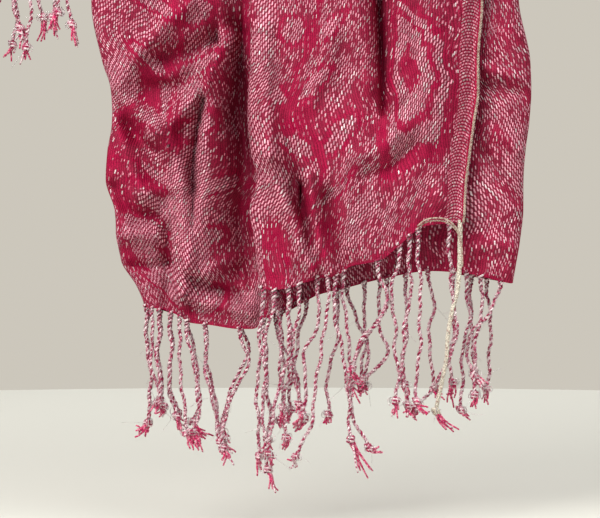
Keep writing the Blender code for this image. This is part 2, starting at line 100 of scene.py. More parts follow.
def add_world():
    """A pale backdrop for the camera, and a dimmer glow that lights the cloth."""
    world = bpy.data.worlds.new("studio")
    world.use_nodes = True
    tree = world.node_tree
    glow = tree.nodes["Background"]
    glow.inputs["Color"].default_value = GLOW_TONE
    glow.inputs["Strength"].default_value = GLOW
    backdrop = tree.nodes.new("ShaderNodeBackground")
    backdrop.inputs["Color"].default_value = BACKDROP_TONE
    seen = tree.nodes.new("ShaderNodeLightPath")
    either = tree.nodes.new("ShaderNodeMixShader")
    tree.links.new(seen.outputs["Is Camera Ray"], either.inputs[0])
    tree.links.new(glow.outputs[0], either.inputs[1])
    tree.links.new(backdrop.outputs[0], either.inputs[2])
    tree.links.new(either.outputs[0], tree.nodes["World Output"].inputs["Surface"])
    bpy.context.scene.world = world


add_panel("key_light", (-1.05, -1.60, 0.54), VIEW_MIDDLE, 1.4, 60, (1.0, 0.985, 0.96))
add_panel("top_light", (0.80, -0.90, 1.15), (0.1, 0.0, -0.8), 1.8, 30, (1.0, 0.99, 0.98))
add_panel("back_light", (0.6, 1.30, 0.60), (0.2, 0.45, -0.9), 1.6, 15, (1.0, 0.99, 0.97))
add_world()
bpy.context.scene.view_settings.view_transform = "Standard"
print("lamps", [item.name for item in bpy.data.lights])

# %% [markdown]
# ## Folded section
#
# Cut the hanging scarf across and the cloth draws a flat spiral: a front panel, a
# short tuck under it, a middle layer, a back layer, and an edge that turns in behind.
# A cloth simulation could fold it, but the folds would land anywhere. Here the fold
# lines come from short tables, so each fold lies where the real one does. Heights and
# places are in millimetres: height above the hem's lowest point, and place across
# from the middle line of the tail.

# %% Fold lines and hems
# Columns: height, inner edge, panel edge, tuck, pale selvedge, outer edge
LONG_FOLDS = (
    (0, -82, -24, -6, 75, 100),
    (12, -84, -24, -6, 75, 100.5),
    (22, -88, -25, -6, 75, 102),
    (34, -95.5, -27, -6, 76, 104),
    (46, -97.5, -28, -6, 76, 106),
    (60, -99, -30.5, -6, 77, 107.5),
    (75, -103.5, -26.5, -6, 78, 107.5),
    (90, -102.5, -30, -6, 80, 108.5),
    (105, -100, -31.5, -6, 82, 110.5),
    (120, -100.5, -31, -6, 84, 111.5),
    (135, -105, -30, -6, 84, 111),
    (165, -110.5, -30, -6, 86, 105),
    (300, -101, -28, -6, 80, 98),
    (450, -88, -24, -5, 70, 86),
    (580, -72, -20, -4, 57, 71),
    (700, -63, -18, -4, 50, 62),
)
SHORT_FOLDS = (
    (0, -103, -30, -8, 78, 100),
    (60, -108, -33, -9, 82, 104),
    (140, -104, -30, -8, 80, 101),
    (260, -92, -26, -6, 71, 89),
    (380, -74, -21, -5, 58, 72),
    (480, -63, -18, -4, 50, 62),
)

# Columns: place across, height of the hem there
LONG_HEM = {
    "front": ((-25, 21), (-20, 20), (-11, 21), (-3, 24), (4, 26), (14, 28), (20, 32),
              (34, 35), (43, 42), (56, 52), (76, 54)),
    "tuck": ((-25, 21), (-6, 15)),
    "middle": ((-84, 11), (-80, 10), (-70, 7), (-64, 3), (-54, 2), (-38, 0), (-30, 0),
               (-25, 4), (-6, 15)),
    "back": ((-84, 11), (-56, 8), (-21, 5), (-11, 9), (4, 17), (20, 21), (36, 25),
             (60, 29), (77, 28), (92, 25), (100, 23)),
    "return": ((76, 27), (100, 23)),
}
SHORT_HEM = {
    "front": ((-30, 12), (10, 19), (45, 24), (78, 33)),
    "tuck": ((-30, 12), (-8, 9)),
    "middle": ((-103, 6), (-60, 0), (-8, 9)),
    "back": ((-103, 6), (-30, 4), (30, 12), (100, 20)),
    "return": ((78, 24), (100, 20)),
}

# Lengthwise waves that gather the cloth. Columns: height, depth of a wave
LONG_WAVES = ((0, 0.6), (165, 1.2), (300, 4.5), (450, 7.5), (580, 9.0), (700, 9.6))
SHORT_WAVES = ((0, 1.6), (140, 3.0), (260, 6.5), (380, 9.0), (480, 9.6))
WAVES_ACROSS = 4
NECK_WAVE = 9.6
WAVE_DRIFT = 0.8

TAIL_MIDDLE = 111.5
TAIL_DEPTH = -105
CHEST_LEVEL = -120
LONG_DROP = 700
SHORT_DROP = 480
print("ends", LONG_DROP, "and", SHORT_DROP, "mm below the chest")

# %% [markdown]
# ## Columns of the cloth
#
# A warp thread runs the whole length of a scarf, so one column of the mesh follows it
# from hem to hem. Each column knows which layer it lies in, where it is between the
# fold lines, and its depth in the stack. A fold is half a circle of columns. The
# front, which shows most, gets the closest columns.

# %% Columns across the section
LAYER_DEPTHS = {"front": 10, "tuck": 4, "middle": -2, "back": -10, "return": -16}
LAYERS = tuple(LAYER_DEPTHS)
CELLS = (7, 2, 7, 1)
REFERENCE_LINES = np.array((-100, -31, -6, 82, 108), float)
TURN_STEPS = 6
RAMP = 10


def add_layer(columns, layer, start, end, start_shift, end_shift, count):
    """Add the columns of one flat layer, from one fold line to another."""
    first = REFERENCE_LINES[start] + start_shift
    last = REFERENCE_LINES[end] + end_shift
    for place in np.linspace(first, last, count):
        near_start = max(0.0, 1 - abs(place - first) / RAMP)
        near_end = max(0.0, 1 - abs(place - last) / RAMP)
        shift = start_shift * near_start ** 2 + end_shift * near_end ** 2
        line = np.interp(place - shift, REFERENCE_LINES, range(5))
        columns.append((line, shift, LAYER_DEPTHS[layer], {layer: 1.0}))


def add_turn(columns, line, side, layer, next_layer):
    """Add the half circle of columns where one layer folds into the next."""
    radius = (LAYER_DEPTHS[layer] - LAYER_DEPTHS[next_layer]) / 2
    middle = (LAYER_DEPTHS[layer] + LAYER_DEPTHS[next_layer]) / 2
    for turn in np.linspace(0, math.pi, TURN_STEPS + 1)[1:-1]:
        share = (1 + math.cos(turn)) / 2
        shift = side * radius * (1 - math.sin(turn))
        depth = middle + radius * math.cos(turn)
        columns.append((line, shift, depth, {layer: share, next_layer: 1 - share}))


columns = []
add_layer(columns, "front", 3, 1, 0, 3, 88)
add_turn(columns, 1, 1, "front", "tuck")
add_layer(columns, "tuck", 1, 2, 3, -3, 6)
add_turn(columns, 2, -1, "tuck", "middle")
add_layer(columns, "middle", 2, 0, -3, 4, 50)
add_turn(columns, 0, 1, "middle", "back")
add_layer(columns, "back", 0, 4, 4, -3, 62)
add_turn(columns, 4, -1, "back", "return")
add_layer(columns, "return", 4, 3, -3, 0, 6)

line_place = np.array([column[0] for column in columns])
shifts = np.array([column[1] for column in columns])
stack_depth = np.array([column[2] for column in columns])
layer_share = {layer: np.array([column[3].get(layer, 0.0) for column in columns])
               for layer in LAYERS}
reference = np.interp(line_place, range(5), REFERENCE_LINES) + shifts
thread_u = np.concatenate([[0], np.cumsum(np.hypot(np.diff(reference), np.diff(stack_depth)))])
CLOTH_WIDTH = float(thread_u[-1])
print(len(columns), "columns over", round(CLOTH_WIDTH), "mm of cloth")

# %% [markdown]
# ## Creases
#
# The big creases are listed one by one, a row for each. A crease is a soft ridge or
# trough along a short route, and its two sides may be of different widths, because
# pressed cloth falls steeply on one side and eases out on the other. Displacing all
# layers together keeps them from passing through each other.

# %% Creases of the longer end
# Columns: layers, width to the left and to the right of the route, depth at its start
# and end (plus is a ridge towards the viewer), then the route: place across, height
LONG_CREASES = (
    ("all", 7, 7, -9, -4, (34, 210), (34.5, 165), (36, 135), (36.5, 113)),
    ("all", 2.2, 2.2, -16, -5, (34, 240), (35, 160), (36.3, 130), (36.8, 108)),
    ("all", 7, 5, 4, 3, (24, 200), (25, 165), (30.5, 125)),
    ("all", 4, 7, 5, 4, (44, 200), (43.5, 165), (40.5, 118)),
    ("front", 6, 5, 5, 7, (-24, 150), (-23, 115), (-20, 88)),
    ("front", 5, 3, 8, 6, (-20, 88), (-18, 75), (-13, 65), (-7, 51), (-4.5, 38), (1, 31)),
    ("front", 4, 4, -1, -6, (-14, 105), (-10, 84), (-6.5, 72)),
    ("front", 4.2, 3.2, -9, -3, (-6.5, 70), (-4, 60), (0.5, 46)),
    ("front", 3.5, 2.8, 7, 5, (-1, 76), (1, 66), (2.5, 52), (5, 42), (10.5, 30)),
    ("front", 4, 6, -5, -4, (7, 66), (9, 50), (15, 34)),
    ("front", 16, 18, 4, 4, (22, 100), (24, 45)),
    ("front", 8, 10, 4, 3, (57, 175), (59, 140), (56, 100)),
    ("front", 5, 6, -4, -3, (84, 165), (80.5, 129), (76, 83), (73, 57)),
    ("front", 5, 5, 3, 3, (63.5, 67), (75.5, 58)),
    ("front", 3, 5, 3, 2, (10, 150), (6, 128), (-2, 112)),
    ("front", 4, 5, 3, 2, (48, 104), (38, 92), (22, 86)),
    ("front", 3, 4, -3, -2, (50, 92), (38, 80), (26, 76)),
    ("all", 6.5, 2.5, 10, 8, (-74, 98), (-67, 86), (-63.5, 72), (-62.5, 50), (-61.5, 30),
     (-63, 18)),
    ("all", 2.4, 2.2, -8, -7, (-53.5, 116), (-57, 100), (-59.5, 84), (-60, 70)),
    ("all", 3.2, 12, 12, 7, (-47, 140), (-51, 118), (-53, 100), (-54, 84), (-55, 66),
     (-57, 50), (-60, 32)),
    ("all", 13, 6, -9, -6, (-38, 150), (-38, 120), (-36.5, 90), (-38, 60), (-36, 34)),
    ("all", 8, 2.5, -8, -5, (-35, 150), (-34.5, 110), (-30.5, 75), (-34, 56), (-30, 28)),
    ("all", 4, 4, 6, 6, (-38, 150), (-46, 136), (-53, 124), (-58, 118), (-66, 108),
     (-74, 100), (-80, 97)),
    ("all", 5, 6, -7, -6, (-50, 146), (-62, 140), (-76, 137)),
    ("all", 5, 6, -5, -5, (-60, 129), (-68, 122), (-82, 121)),
    ("all", 4, 5, 6, 5, (-62, 164), (-77, 149), (-85, 140), (-92, 132), (-95, 126)),
    ("all", 4, 4, 5, 4, (-97, 122), (-90, 112), (-82, 104), (-75, 96), (-71, 92)),
    ("all", 4, 4, -5, -4, (-94, 104), (-88, 97), (-80, 92)),
    ("all", 3, 4, 4, 4, (-98, 104), (-93.5, 88), (-90, 79), (-82, 66), (-74, 58)),
    ("all", 4, 4, -6, -5, (-99, 72), (-93, 60), (-87, 56), (-78, 58)),
    ("all", 5, 5, 6, 4, (-96.5, 47), (-88.5, 48), (-79.5, 46)),
    ("all", 4, 4, 5, 4, (-86, 68), (-78, 70), (-71, 72)),
    ("all", 3, 3, -4, -3, (-90, 32), (-80, 31), (-70.5, 34)),
    ("all", 3, 3, -5, -3, (-73, 50), (-72, 27), (-72.5, 12)),
    ("middle", 10, 3, -4.5, -4.5, (-29, 95), (-27, 70), (-31, 45), (-29, 28)),
    ("middle", 5, 5, -5, -4, (-34.5, 185), (-34.5, 145), (-35.5, 120), (-41.5, 105)),
    ("all", 3, 3, -5, -4, (-60, 26), (-50, 21), (-36, 17)),
    ("all", 3, 3, 4, 3, (-60, 15), (-46, 12), (-30.5, 8)),
    ("all", 4, 4, 4, 3, (-52, 28), (-44, 33), (-36, 36)),
    ("front", 14, 14, -3, -3, (86, 200), (84, 130), (76, 55)),
    ("back", 20, 20, 5, 5, (96, 240), (98, 90), (94, 20)),
    ("back", 5, 5, 2, 3, (99, 165), (101, 90), (98, 30)),
    ("back", 3, 3, 3, 2, (88, 132), (106, 126)),
    ("back", 3, 3, -3, -2, (88, 124), (106, 119)),
    ("back", 3, 3, 2, 2, (92, 100), (104.5, 90)),
    ("back", 3, 3, -3, -2, (88, 90), (94.5, 80), (102, 65)),
    ("back", 4, 4, 3, 2, (80, 40), (92, 44), (103, 40)),
)


def crease_depth(crease, across, height, shares):
    """Depth that one crease adds at each point, in millimetres."""
    layer, left_width, right_width, start_depth, end_depth, *route = crease
    route = np.array(route, float)
    runs = np.linalg.norm(np.diff(route, axis=0), axis=1)
    before = np.concatenate([[0], np.cumsum(runs)])
    nearest = np.full(across.shape, 1e9)
    depth = np.zeros(across.shape)
    for index, run in enumerate(runs):
        (x1, z1), (x2, z2) = route[index], route[index + 1]
        dx, dz = (x2 - x1) / run, (z2 - z1) / run
        along = np.clip((across - x1) * dx + (height - z1) * dz, 0, run)
        off_x, off_z = across - x1 - along * dx, height - z1 - along * dz
        distance = np.hypot(off_x, off_z)
        width = np.where(off_x < 0, left_width, right_width)
        share = (before[index] + along) / before[-1]
        amount = start_depth + (end_depth - start_depth) * share ** 2
        here = amount * np.exp(-(distance / width) ** 2)
        closer = distance < nearest
        depth = np.where(closer, here, depth)
        nearest = np.minimum(nearest, distance)
    return depth if layer == "all" else depth * shares[layer]


print(len(LONG_CREASES), "creases drawn on the longer end")

# %% [markdown]
# The photo ends above the chest, and it shows one side only. The rest of the scarf
# gets creases of the same kind from a seeded generator: mostly steep, a few slanting,
# so that no stretch looks ironed and every run of the script gives the same cloth.


# %% Creases where the photo doesn't reach
def scattered_creases(seed, count, low, high, layers, deepest):
    """Random creases between two heights, always the same ones for a seed."""
    draw = np.random.default_rng(seed)
    creases = []
    for _ in range(count):
        start = np.array([draw.uniform(-95, 95), draw.uniform(low, high)])
        lean = draw.normal(0, 0.30) if draw.random() < 0.75 else draw.normal(0, 1.0)
        length = draw.uniform(35, 110)
        step = length / 3 * np.array([math.sin(lean), -math.cos(lean)])
        bend = draw.normal(0, 3, (2, 2))
        route = [start, start + step + bend[0], start + 2 * step + bend[1], start + 3 * step]
        left, right = draw.uniform(3.5, 9, 2)
        depth = draw.uniform(0.4, 1.0) * deepest * (1 if draw.random() < 0.6 else -1)
        layer = layers[int(draw.integers(len(layers)))]
        creases.append((layer, left, right, depth, depth * draw.uniform(0.2, 0.8), *route))
    return creases


LONG_HIDDEN = (scattered_creases(3, 46, 230, 620, ("all",), 4.5)
               + scattered_creases(5, 26, 60, 260, ("return", "back"), 2.0))
SHORT_HIDDEN = (scattered_creases(8, 52, 60, 420, ("all",), 4.5)
                + scattered_creases(11, 14, 30, 200, ("front", "back"), 2.0))
print(len(LONG_HIDDEN) + len(SHORT_HIDDEN), "creases scattered elsewhere")

# %% [markdown]
# ## Shape of the cloth
#
# Now the tables become points. Each row of the grid is a weft line. The rows start at
# the longer end's hem, climb to the chest, go round the nape and come down to the
# other hem. One grid for the whole scarf means that the stretches meet exactly.


# %% Read tables along smooth curves
def smooth_read(place, marks, values):
    """Value at a place between marks, on a smooth curve that never overshoots."""
    marks, values = np.asarray(marks, float), np.asarray(values, float)
    gaps = np.diff(marks)
    slopes = np.diff(values) / gaps
    turning = slopes[:-1] * slopes[1:] <= 0
    total = np.where(turning, 1, slopes[:-1] + slopes[1:])
    inner = np.where(turning, 0, 2 * slopes[:-1] * slopes[1:] / total)
    tangents = np.concatenate([slopes[:1], inner, slopes[-1:]])
    place = np.clip(place, marks[0], marks[-1])
    cell = np.clip(np.searchsorted(marks, place, side="right") - 1, 0, len(gaps) - 1)
    gap = gaps[cell]
    share = (place - marks[cell]) / gap
    rest = 1 - share
    low = values[cell] * (1 + 2 * share) + tangents[cell] * gap * share
    high = values[cell + 1] * (1 + 2 * rest) - tangents[cell + 1] * gap * rest
    return low * rest ** 2 + high * share ** 2


def fold_lines(folds, height):
    """The five fold lines at each height."""
    table = np.array(folds, float)
    return [smooth_read(height, table[:, 0], column) for column in table.T[1:]]


def across_places(lines):
    """Place across of each column, from the fold lines at each point."""
    cell = np.clip(line_place.astype(int), 0, 3)
    share = line_place - cell
    places = np.zeros(np.broadcast(lines[0], line_place).shape)
    for index in range(4):
        inside = lines[index] + share * (lines[index + 1] - lines[index])
        places = np.where(cell == index, inside, places)
    return places + shifts


def wave_depth(lines, across, amplitude, phase):
    """Depth of the lengthwise waves, in millimetres."""
    station = 0
    for cells, start, end in zip(CELLS, lines, lines[1:]):
        station = station + cells * np.clip((across - start) / (end - start), 0, 1)
    return amplitude * np.sin(2 * math.pi * WAVES_ACROSS * station / sum(CELLS) + phase)


def crinkle(length, strength):
    """Small uneven dents of the whole cloth, at each row and column."""
    rows = []
    for along in length:
        row = []
        for sideways in thread_u:
            dent = noise.noise(Vector((sideways / 15, along / 24, 3.7)))
            pucker = abs(noise.noise(Vector((sideways / 8, along / 13, 9.1))))
            grain = noise.noise(Vector((sideways / 4.2, along / 6.0, 1.3)))
            row.append(0.9 * dent + 0.9 * (0.25 - pucker) + 0.22 * grain)
        rows.append(row)
    return np.array(rows) * strength


inner_edge = fold_lines(LONG_FOLDS, np.array([250.0]))[0]
print("inner edge 250 mm above the hem:", round(float(inner_edge[0])), "mm across")

# %% [markdown]
# A hanging tail is nearly flat, so each of its points needs only three numbers: how
# far across it lies, how high, and how deep. Sculpting would be the free-hand way. Here
# the fold lines give the place across, the hem table bends the rows towards the hem,
# and waves, creases and dents add up to the depth. The creases fade out at the chest,
# where the tail has to meet the neck stretch exactly.

# %% Grid of one tail
LONG_TAIL = {"side": 1, "drop": LONG_DROP, "folds": LONG_FOLDS, "hem": LONG_HEM,
             "waves": LONG_WAVES, "phase": 0.0, "creases": [*LONG_CREASES, *LONG_HIDDEN]}
SHORT_TAIL = {"side": -1, "drop": SHORT_DROP, "folds": SHORT_FOLDS, "hem": SHORT_HEM,
              "waves": SHORT_WAVES, "phase": WAVE_DRIFT, "creases": SHORT_HIDDEN}
CALM_HEIGHT = 60
RELIEF = 1.35


def tail_grid(tail, fractions, dents):
    """Points of a tail, a row for each fraction of its drop, in metres."""
    low = across_places(fold_lines(tail["folds"], np.full((1, 1), 20.0)))[0]
    hem = sum(layer_share[layer] * smooth_read(low, *np.array(tail["hem"][layer], float).T)
              for layer in LAYERS)
    height = tail["drop"] + (hem - tail["drop"]) * fractions[:, None]
    lines = fold_lines(tail["folds"], height)
    across = across_places(lines)
    waves = np.array(tail["waves"], float)
    amplitude = smooth_read(height, waves[:, 0], waves[:, 1])
    depth = stack_depth + wave_depth(lines, across, amplitude, tail["phase"])
    fade = np.clip((tail["drop"] - height) / CALM_HEIGHT, 0, 1)
    folds = sum(crease_depth(crease, across, height, layer_share) for crease in tail["creases"])
    depth = depth + RELIEF * folds * fade + dents
    x = tail["side"] * (TAIL_MIDDLE + across)
    z = CHEST_LEVEL - tail["drop"] + height
    return np.stack([x, TAIL_DEPTH - depth, z], axis=-1) * MM


long_fractions = np.concatenate([np.linspace(1, 0.745, 100, endpoint=False),
                                 np.linspace(0.745, 0, 100)])
short_fractions = np.linspace(0, 1, 108)
NECK_ROWS = 124
print("rows", len(long_fractions), NECK_ROWS, len(short_fractions))

# %% [markdown]
# Round the neck the cloth is gathered and turns on its side. Extruding its section along
# a curve object would twist it freely, so the path's table also gives the direction
# across the cloth at each stop, and only one half is written: the other is mirrored.

# %% Grid round the neck
# Columns: x, y, z in metres, then the direction from the inner to the outer edge
NECK_PATH = (
    (0.1115, -0.105, -0.120, 1.00, 0.00, 0.00),
    (0.1135, -0.098, -0.085, 1.00, 0.00, -0.05),
    (0.1170, -0.072, -0.052, 0.97, 0.00, -0.22),
    (0.1210, -0.035, -0.034, 0.94, 0.00, -0.34),
    (0.1170, 0.012, -0.026, 0.90, 0.14, -0.42),
    (0.0940, 0.060, -0.014, 0.68, 0.46, -0.57),
    (0.0520, 0.090, -0.004, 0.36, 0.50, -0.79),
    (0.0000, 0.100, 0.000, 0.00, 0.50, -0.87),
)


def unit(vectors):
    """Scale vectors to length one."""
    return vectors / np.linalg.norm(vectors, axis=-1, keepdims=True)


def even_curve(points, samples):
    """Smooth curve through a list of rows, at even steps of its length."""
    padded = np.vstack([2 * points[0] - points[1], points, 2 * points[-1] - points[-2]])
    fine = []
    for index in range(1, len(padded) - 2):
        before, start, end, after = padded[index - 1:index + 3]
        step = np.linspace(0, 1, 12, endpoint=False)[:, None]
        linear = (end - before) * step
        square = (2 * before - 5 * start + 4 * end - after) * step ** 2
        cube = (3 * start - before - 3 * end + after) * step ** 3
        fine.append((2 * start + linear + square + cube) / 2)
    fine = np.vstack([*fine, padded[-2:-1]])
    steps = np.linalg.norm(np.diff(fine[:, :3], axis=0), axis=1)
    lengths = np.concatenate([[0], np.cumsum(steps)])
    places = np.linspace(0, lengths[-1], samples)
    return np.array([np.interp(places, lengths, column) for column in fine.T]).T


half_path = np.array(NECK_PATH)
neck_path = even_curve(np.vstack([half_path, half_path[-2::-1] * (-1, 1, 1, -1, 1, 1)]), NECK_ROWS)
neck_steps = np.linalg.norm(np.diff(neck_path[:, :3], axis=0), axis=1)
NECK_LENGTH = float(neck_steps.sum() / MM)


def neck_grid(dents):
    """Points of the stretch round the neck, in metres."""
    middle = neck_path[:, :3]
    forward = unit(np.gradient(middle, axis=0))
    forward[0], forward[-1] = (0, 0, 1), (0, 0, -1)
    across = neck_path[:, 3:]
    across = unit(across - np.sum(across * forward, axis=1)[:, None] * forward)
    outward = np.cross(across, forward)
    lines = [line.reshape(1, 1) for line in fold_lines(LONG_FOLDS, np.array([float(LONG_DROP)]))]
    places = across_places(lines)
    phase = WAVE_DRIFT * np.linspace(0, 1, NECK_ROWS)[:, None]
    depth = stack_depth + wave_depth(lines, places, NECK_WAVE, phase) + dents
    sideways = across[:, None] * places[..., None] * MM
    return middle[:, None] + sideways + outward[:, None] * depth[..., None] * MM


print("stretch round the neck", round(NECK_LENGTH), "mm long")

# %% [markdown]
# The three grids share the columns and the rows where they meet. The dents are worked
# out for the whole length at once, so that they run on from one stretch to the next.

# %% One grid for the whole scarf
long_v = LONG_DROP * (1 - long_fractions)
neck_v = LONG_DROP + NECK_LENGTH * np.linspace(0, 1, NECK_ROWS)
short_v = neck_v[-1] + SHORT_DROP * short_fractions
CLOTH_LENGTH = float(short_v[-1])
thread_v = np.concatenate([long_v, neck_v[1:], short_v[1:]])
dents = crinkle(thread_v, 1.0)
neck_start = len(long_v) - 1
short_start = neck_start + NECK_ROWS - 1
cloth = np.vstack([tail_grid(LONG_TAIL, long_fractions, dents[:neck_start + 1]),
                   neck_grid(dents[neck_start:short_start + 1])[1:],
                   tail_grid(SHORT_TAIL, short_fractions, dents[short_start:])[1:]])
print("cloth", round(CLOTH_WIDTH), "by", round(CLOTH_LENGTH), "mm, grid", cloth.shape[:2])

# %% [markdown]
# ## Thin shell
#
# Real cloth shows its two faces, and its edge has a thickness. So the grid is copied
# to both sides of its middle surface and closed round the rim. A Solidify modifier
# would do the same, but here the two faces get an attribute that tells the shader
# which one is the wrong side of the weave.

# %% Build the three stretches
CLOTH_WALL = 0.9
along_columns = np.gradient(cloth, axis=1)
along_rows = np.gradient(cloth, axis=0)
face_normals = unit(np.cross(along_rows, along_columns))


def add_mesh(name, points, faces, uvs, wrong_side, normals):
    """A smooth mesh with thread places as its UV map."""
    mesh = bpy.data.meshes.new(name)
    mesh.from_pydata(points.tolist(), [], faces)
    corners = np.zeros(len(mesh.loops), np.int32)
    mesh.loops.foreach_get("vertex_index", corners)
    layer = mesh.uv_layers.new(name="threads")
    layer.data.foreach_set("uv", uvs[corners].astype(np.float32).ravel())
    side = mesh.attributes.new("wrong_side", "FLOAT", "POINT")
    side.data.foreach_set("value", wrong_side.astype(np.float32))
    mesh.shade_smooth()
    if normals is not None:
        mesh.normals_split_custom_set_from_vertices(normals.tolist())
    piece = bpy.data.objects.new(name, mesh)
    bpy.context.scene.collection.objects.link(piece)
    return piece


def add_stretch(name, first, last):
    """Closed shell round the rows from first to last."""
    grid = cloth[first:last + 1]
    normals = face_normals[first:last + 1]
    rows, count = grid.shape[:2]
    face = grid + normals * CLOTH_WALL / 2 * MM
    wrong = grid - normals * CLOTH_WALL / 2 * MM
    points = np.concatenate([face.reshape(-1, 3), wrong.reshape(-1, 3)])
    index = np.arange(rows * count).reshape(rows, count)
    corners = [index[:-1, :-1], index[1:, :-1], index[1:, 1:], index[:-1, 1:]]
    quads = np.stack([corner.ravel() for corner in corners], axis=1)
    back = quads[:, ::-1] + rows * count
    rim = np.concatenate([index[0], index[1:, -1], index[-1, -2::-1], index[-2:0:-1, 0]])
    following = np.roll(rim, -1)
    edge = np.stack([rim, following, following + rows * count, rim + rows * count], axis=1)
    faces = np.concatenate([quads, back, edge]).tolist()
    places = np.stack(np.broadcast_arrays(thread_u[None], thread_v[first:last + 1, None]), -1)
    uvs = np.tile(places.reshape(-1, 2), (2, 1)) * MM
    wrong_side = np.repeat([0.0, 1.0], rows * count)
    both = np.concatenate([normals.reshape(-1, 3), -normals.reshape(-1, 3)])
    piece = add_mesh(name, points, faces, uvs, wrong_side, both)
    print(name, len(quads) * 4 + len(edge) * 2, "triangles")
    return piece


long_cloth = add_stretch("long_end_cloth", 0, neck_start)
neck_cloth = add_stretch("neck_cloth", neck_start, short_start)
short_cloth = add_stretch("short_end_cloth", short_start, len(cloth) - 1)

# %% [markdown]
# ## Yarn
#
# The fringe, the pale selvedge and the loose hairs are all yarn. A curve with a bevel
# is the quick way to make a tube. Hundreds of curves are slow, though, and two plies
# that wind round each other need a path for each ply, so the tubes are written as
# rings of points and collected into one mesh.


# %% Collect tubes in one mesh
def carried_frames(path):
    """Two directions across a path at each point, without sudden twists."""
    tangents = unit(np.gradient(path, axis=0))
    side = np.cross(tangents[0], (0.0, 1.0, 0.0))
    if np.linalg.norm(side) < 0.2:
        side = np.cross(tangents[0], (1.0, 0.0, 0.0))
    sides = []
    for tangent in tangents:
        side = side - tangent * np.dot(side, tangent)
        side = side / np.linalg.norm(side)
        sides.append(side)
    sides = np.array(sides)
    return sides, np.cross(tangents, sides)


class Yarns:
    """Tubes of yarn, collected to be made into one mesh. Lengths in millimetres."""

    def __init__(self):
        self.points = []
        self.faces = []
        self.finishes = []
        self.uvs = []
        self.count = 0

    def add(self, path, radius, sides, finish):
        """Add one tube with round rings and flat ends."""
        first, second = carried_frames(path)
        turn = np.linspace(0, 2 * math.pi, sides, endpoint=False)[None, :, None]
        radius = np.broadcast_to(radius, len(path))[:, None, None]
        ring = first[:, None] * np.cos(turn) + second[:, None] * np.sin(turn)
        points = path[:, None] + ring * radius
        rings = len(path)
        index = self.count + np.arange(rings * sides).reshape(rings, sides)
        beside = np.roll(index, -1, axis=1)
        quads = np.stack([index[:-1], beside[:-1], beside[1:], index[1:]], axis=-1).reshape(-1, 4)
        ends = [index[0, ::-1].tolist(), index[-1].tolist()]
        self.points.append(points.reshape(-1, 3))
        self.faces += quads.tolist() + ends
        self.finishes += [finish] * (len(quads) + 2)
        steps = np.linalg.norm(np.diff(path, axis=0), axis=1)
        along = np.concatenate([[0], np.cumsum(steps)]) + 7.3 * len(self.points)
        around = np.linspace(0, 1, sides, endpoint=False)
        places = np.stack(np.broadcast_arrays(around[None], along[:, None] * 0.1), axis=-1)
        self.uvs.append(places.reshape(-1, 2))
        self.count += rings * sides

    def build(self, name, materials):
        """Make the mesh, with a material for each finish."""
        points = np.vstack(self.points) * MM
        zeros = np.zeros(len(points))
        piece = add_mesh(name, points, self.faces, np.vstack(self.uvs), zeros, None)
        for finish in materials:
            piece.data.materials.append(finish)
        piece.data.polygons.foreach_set("material_index", np.array(self.finishes, np.int32))
        piece.data.update()
        print(name, sum(len(face) - 2 for face in self.faces), "triangles")
        return piece


print("yarns are tubes of 3 sides for a hair and 5 or 6 for a ply")

# %% [markdown]
# ## Fringe
#
# A fringe maker takes a few warp ends that stick out of the hem, twists two bundles
# one way and lets them wind back round each other, then ties a knot and leaves a
# little brush below it. The table gives each cord a root, its sways and its drop, and
# the functions below twist it, knot it and fray its end.

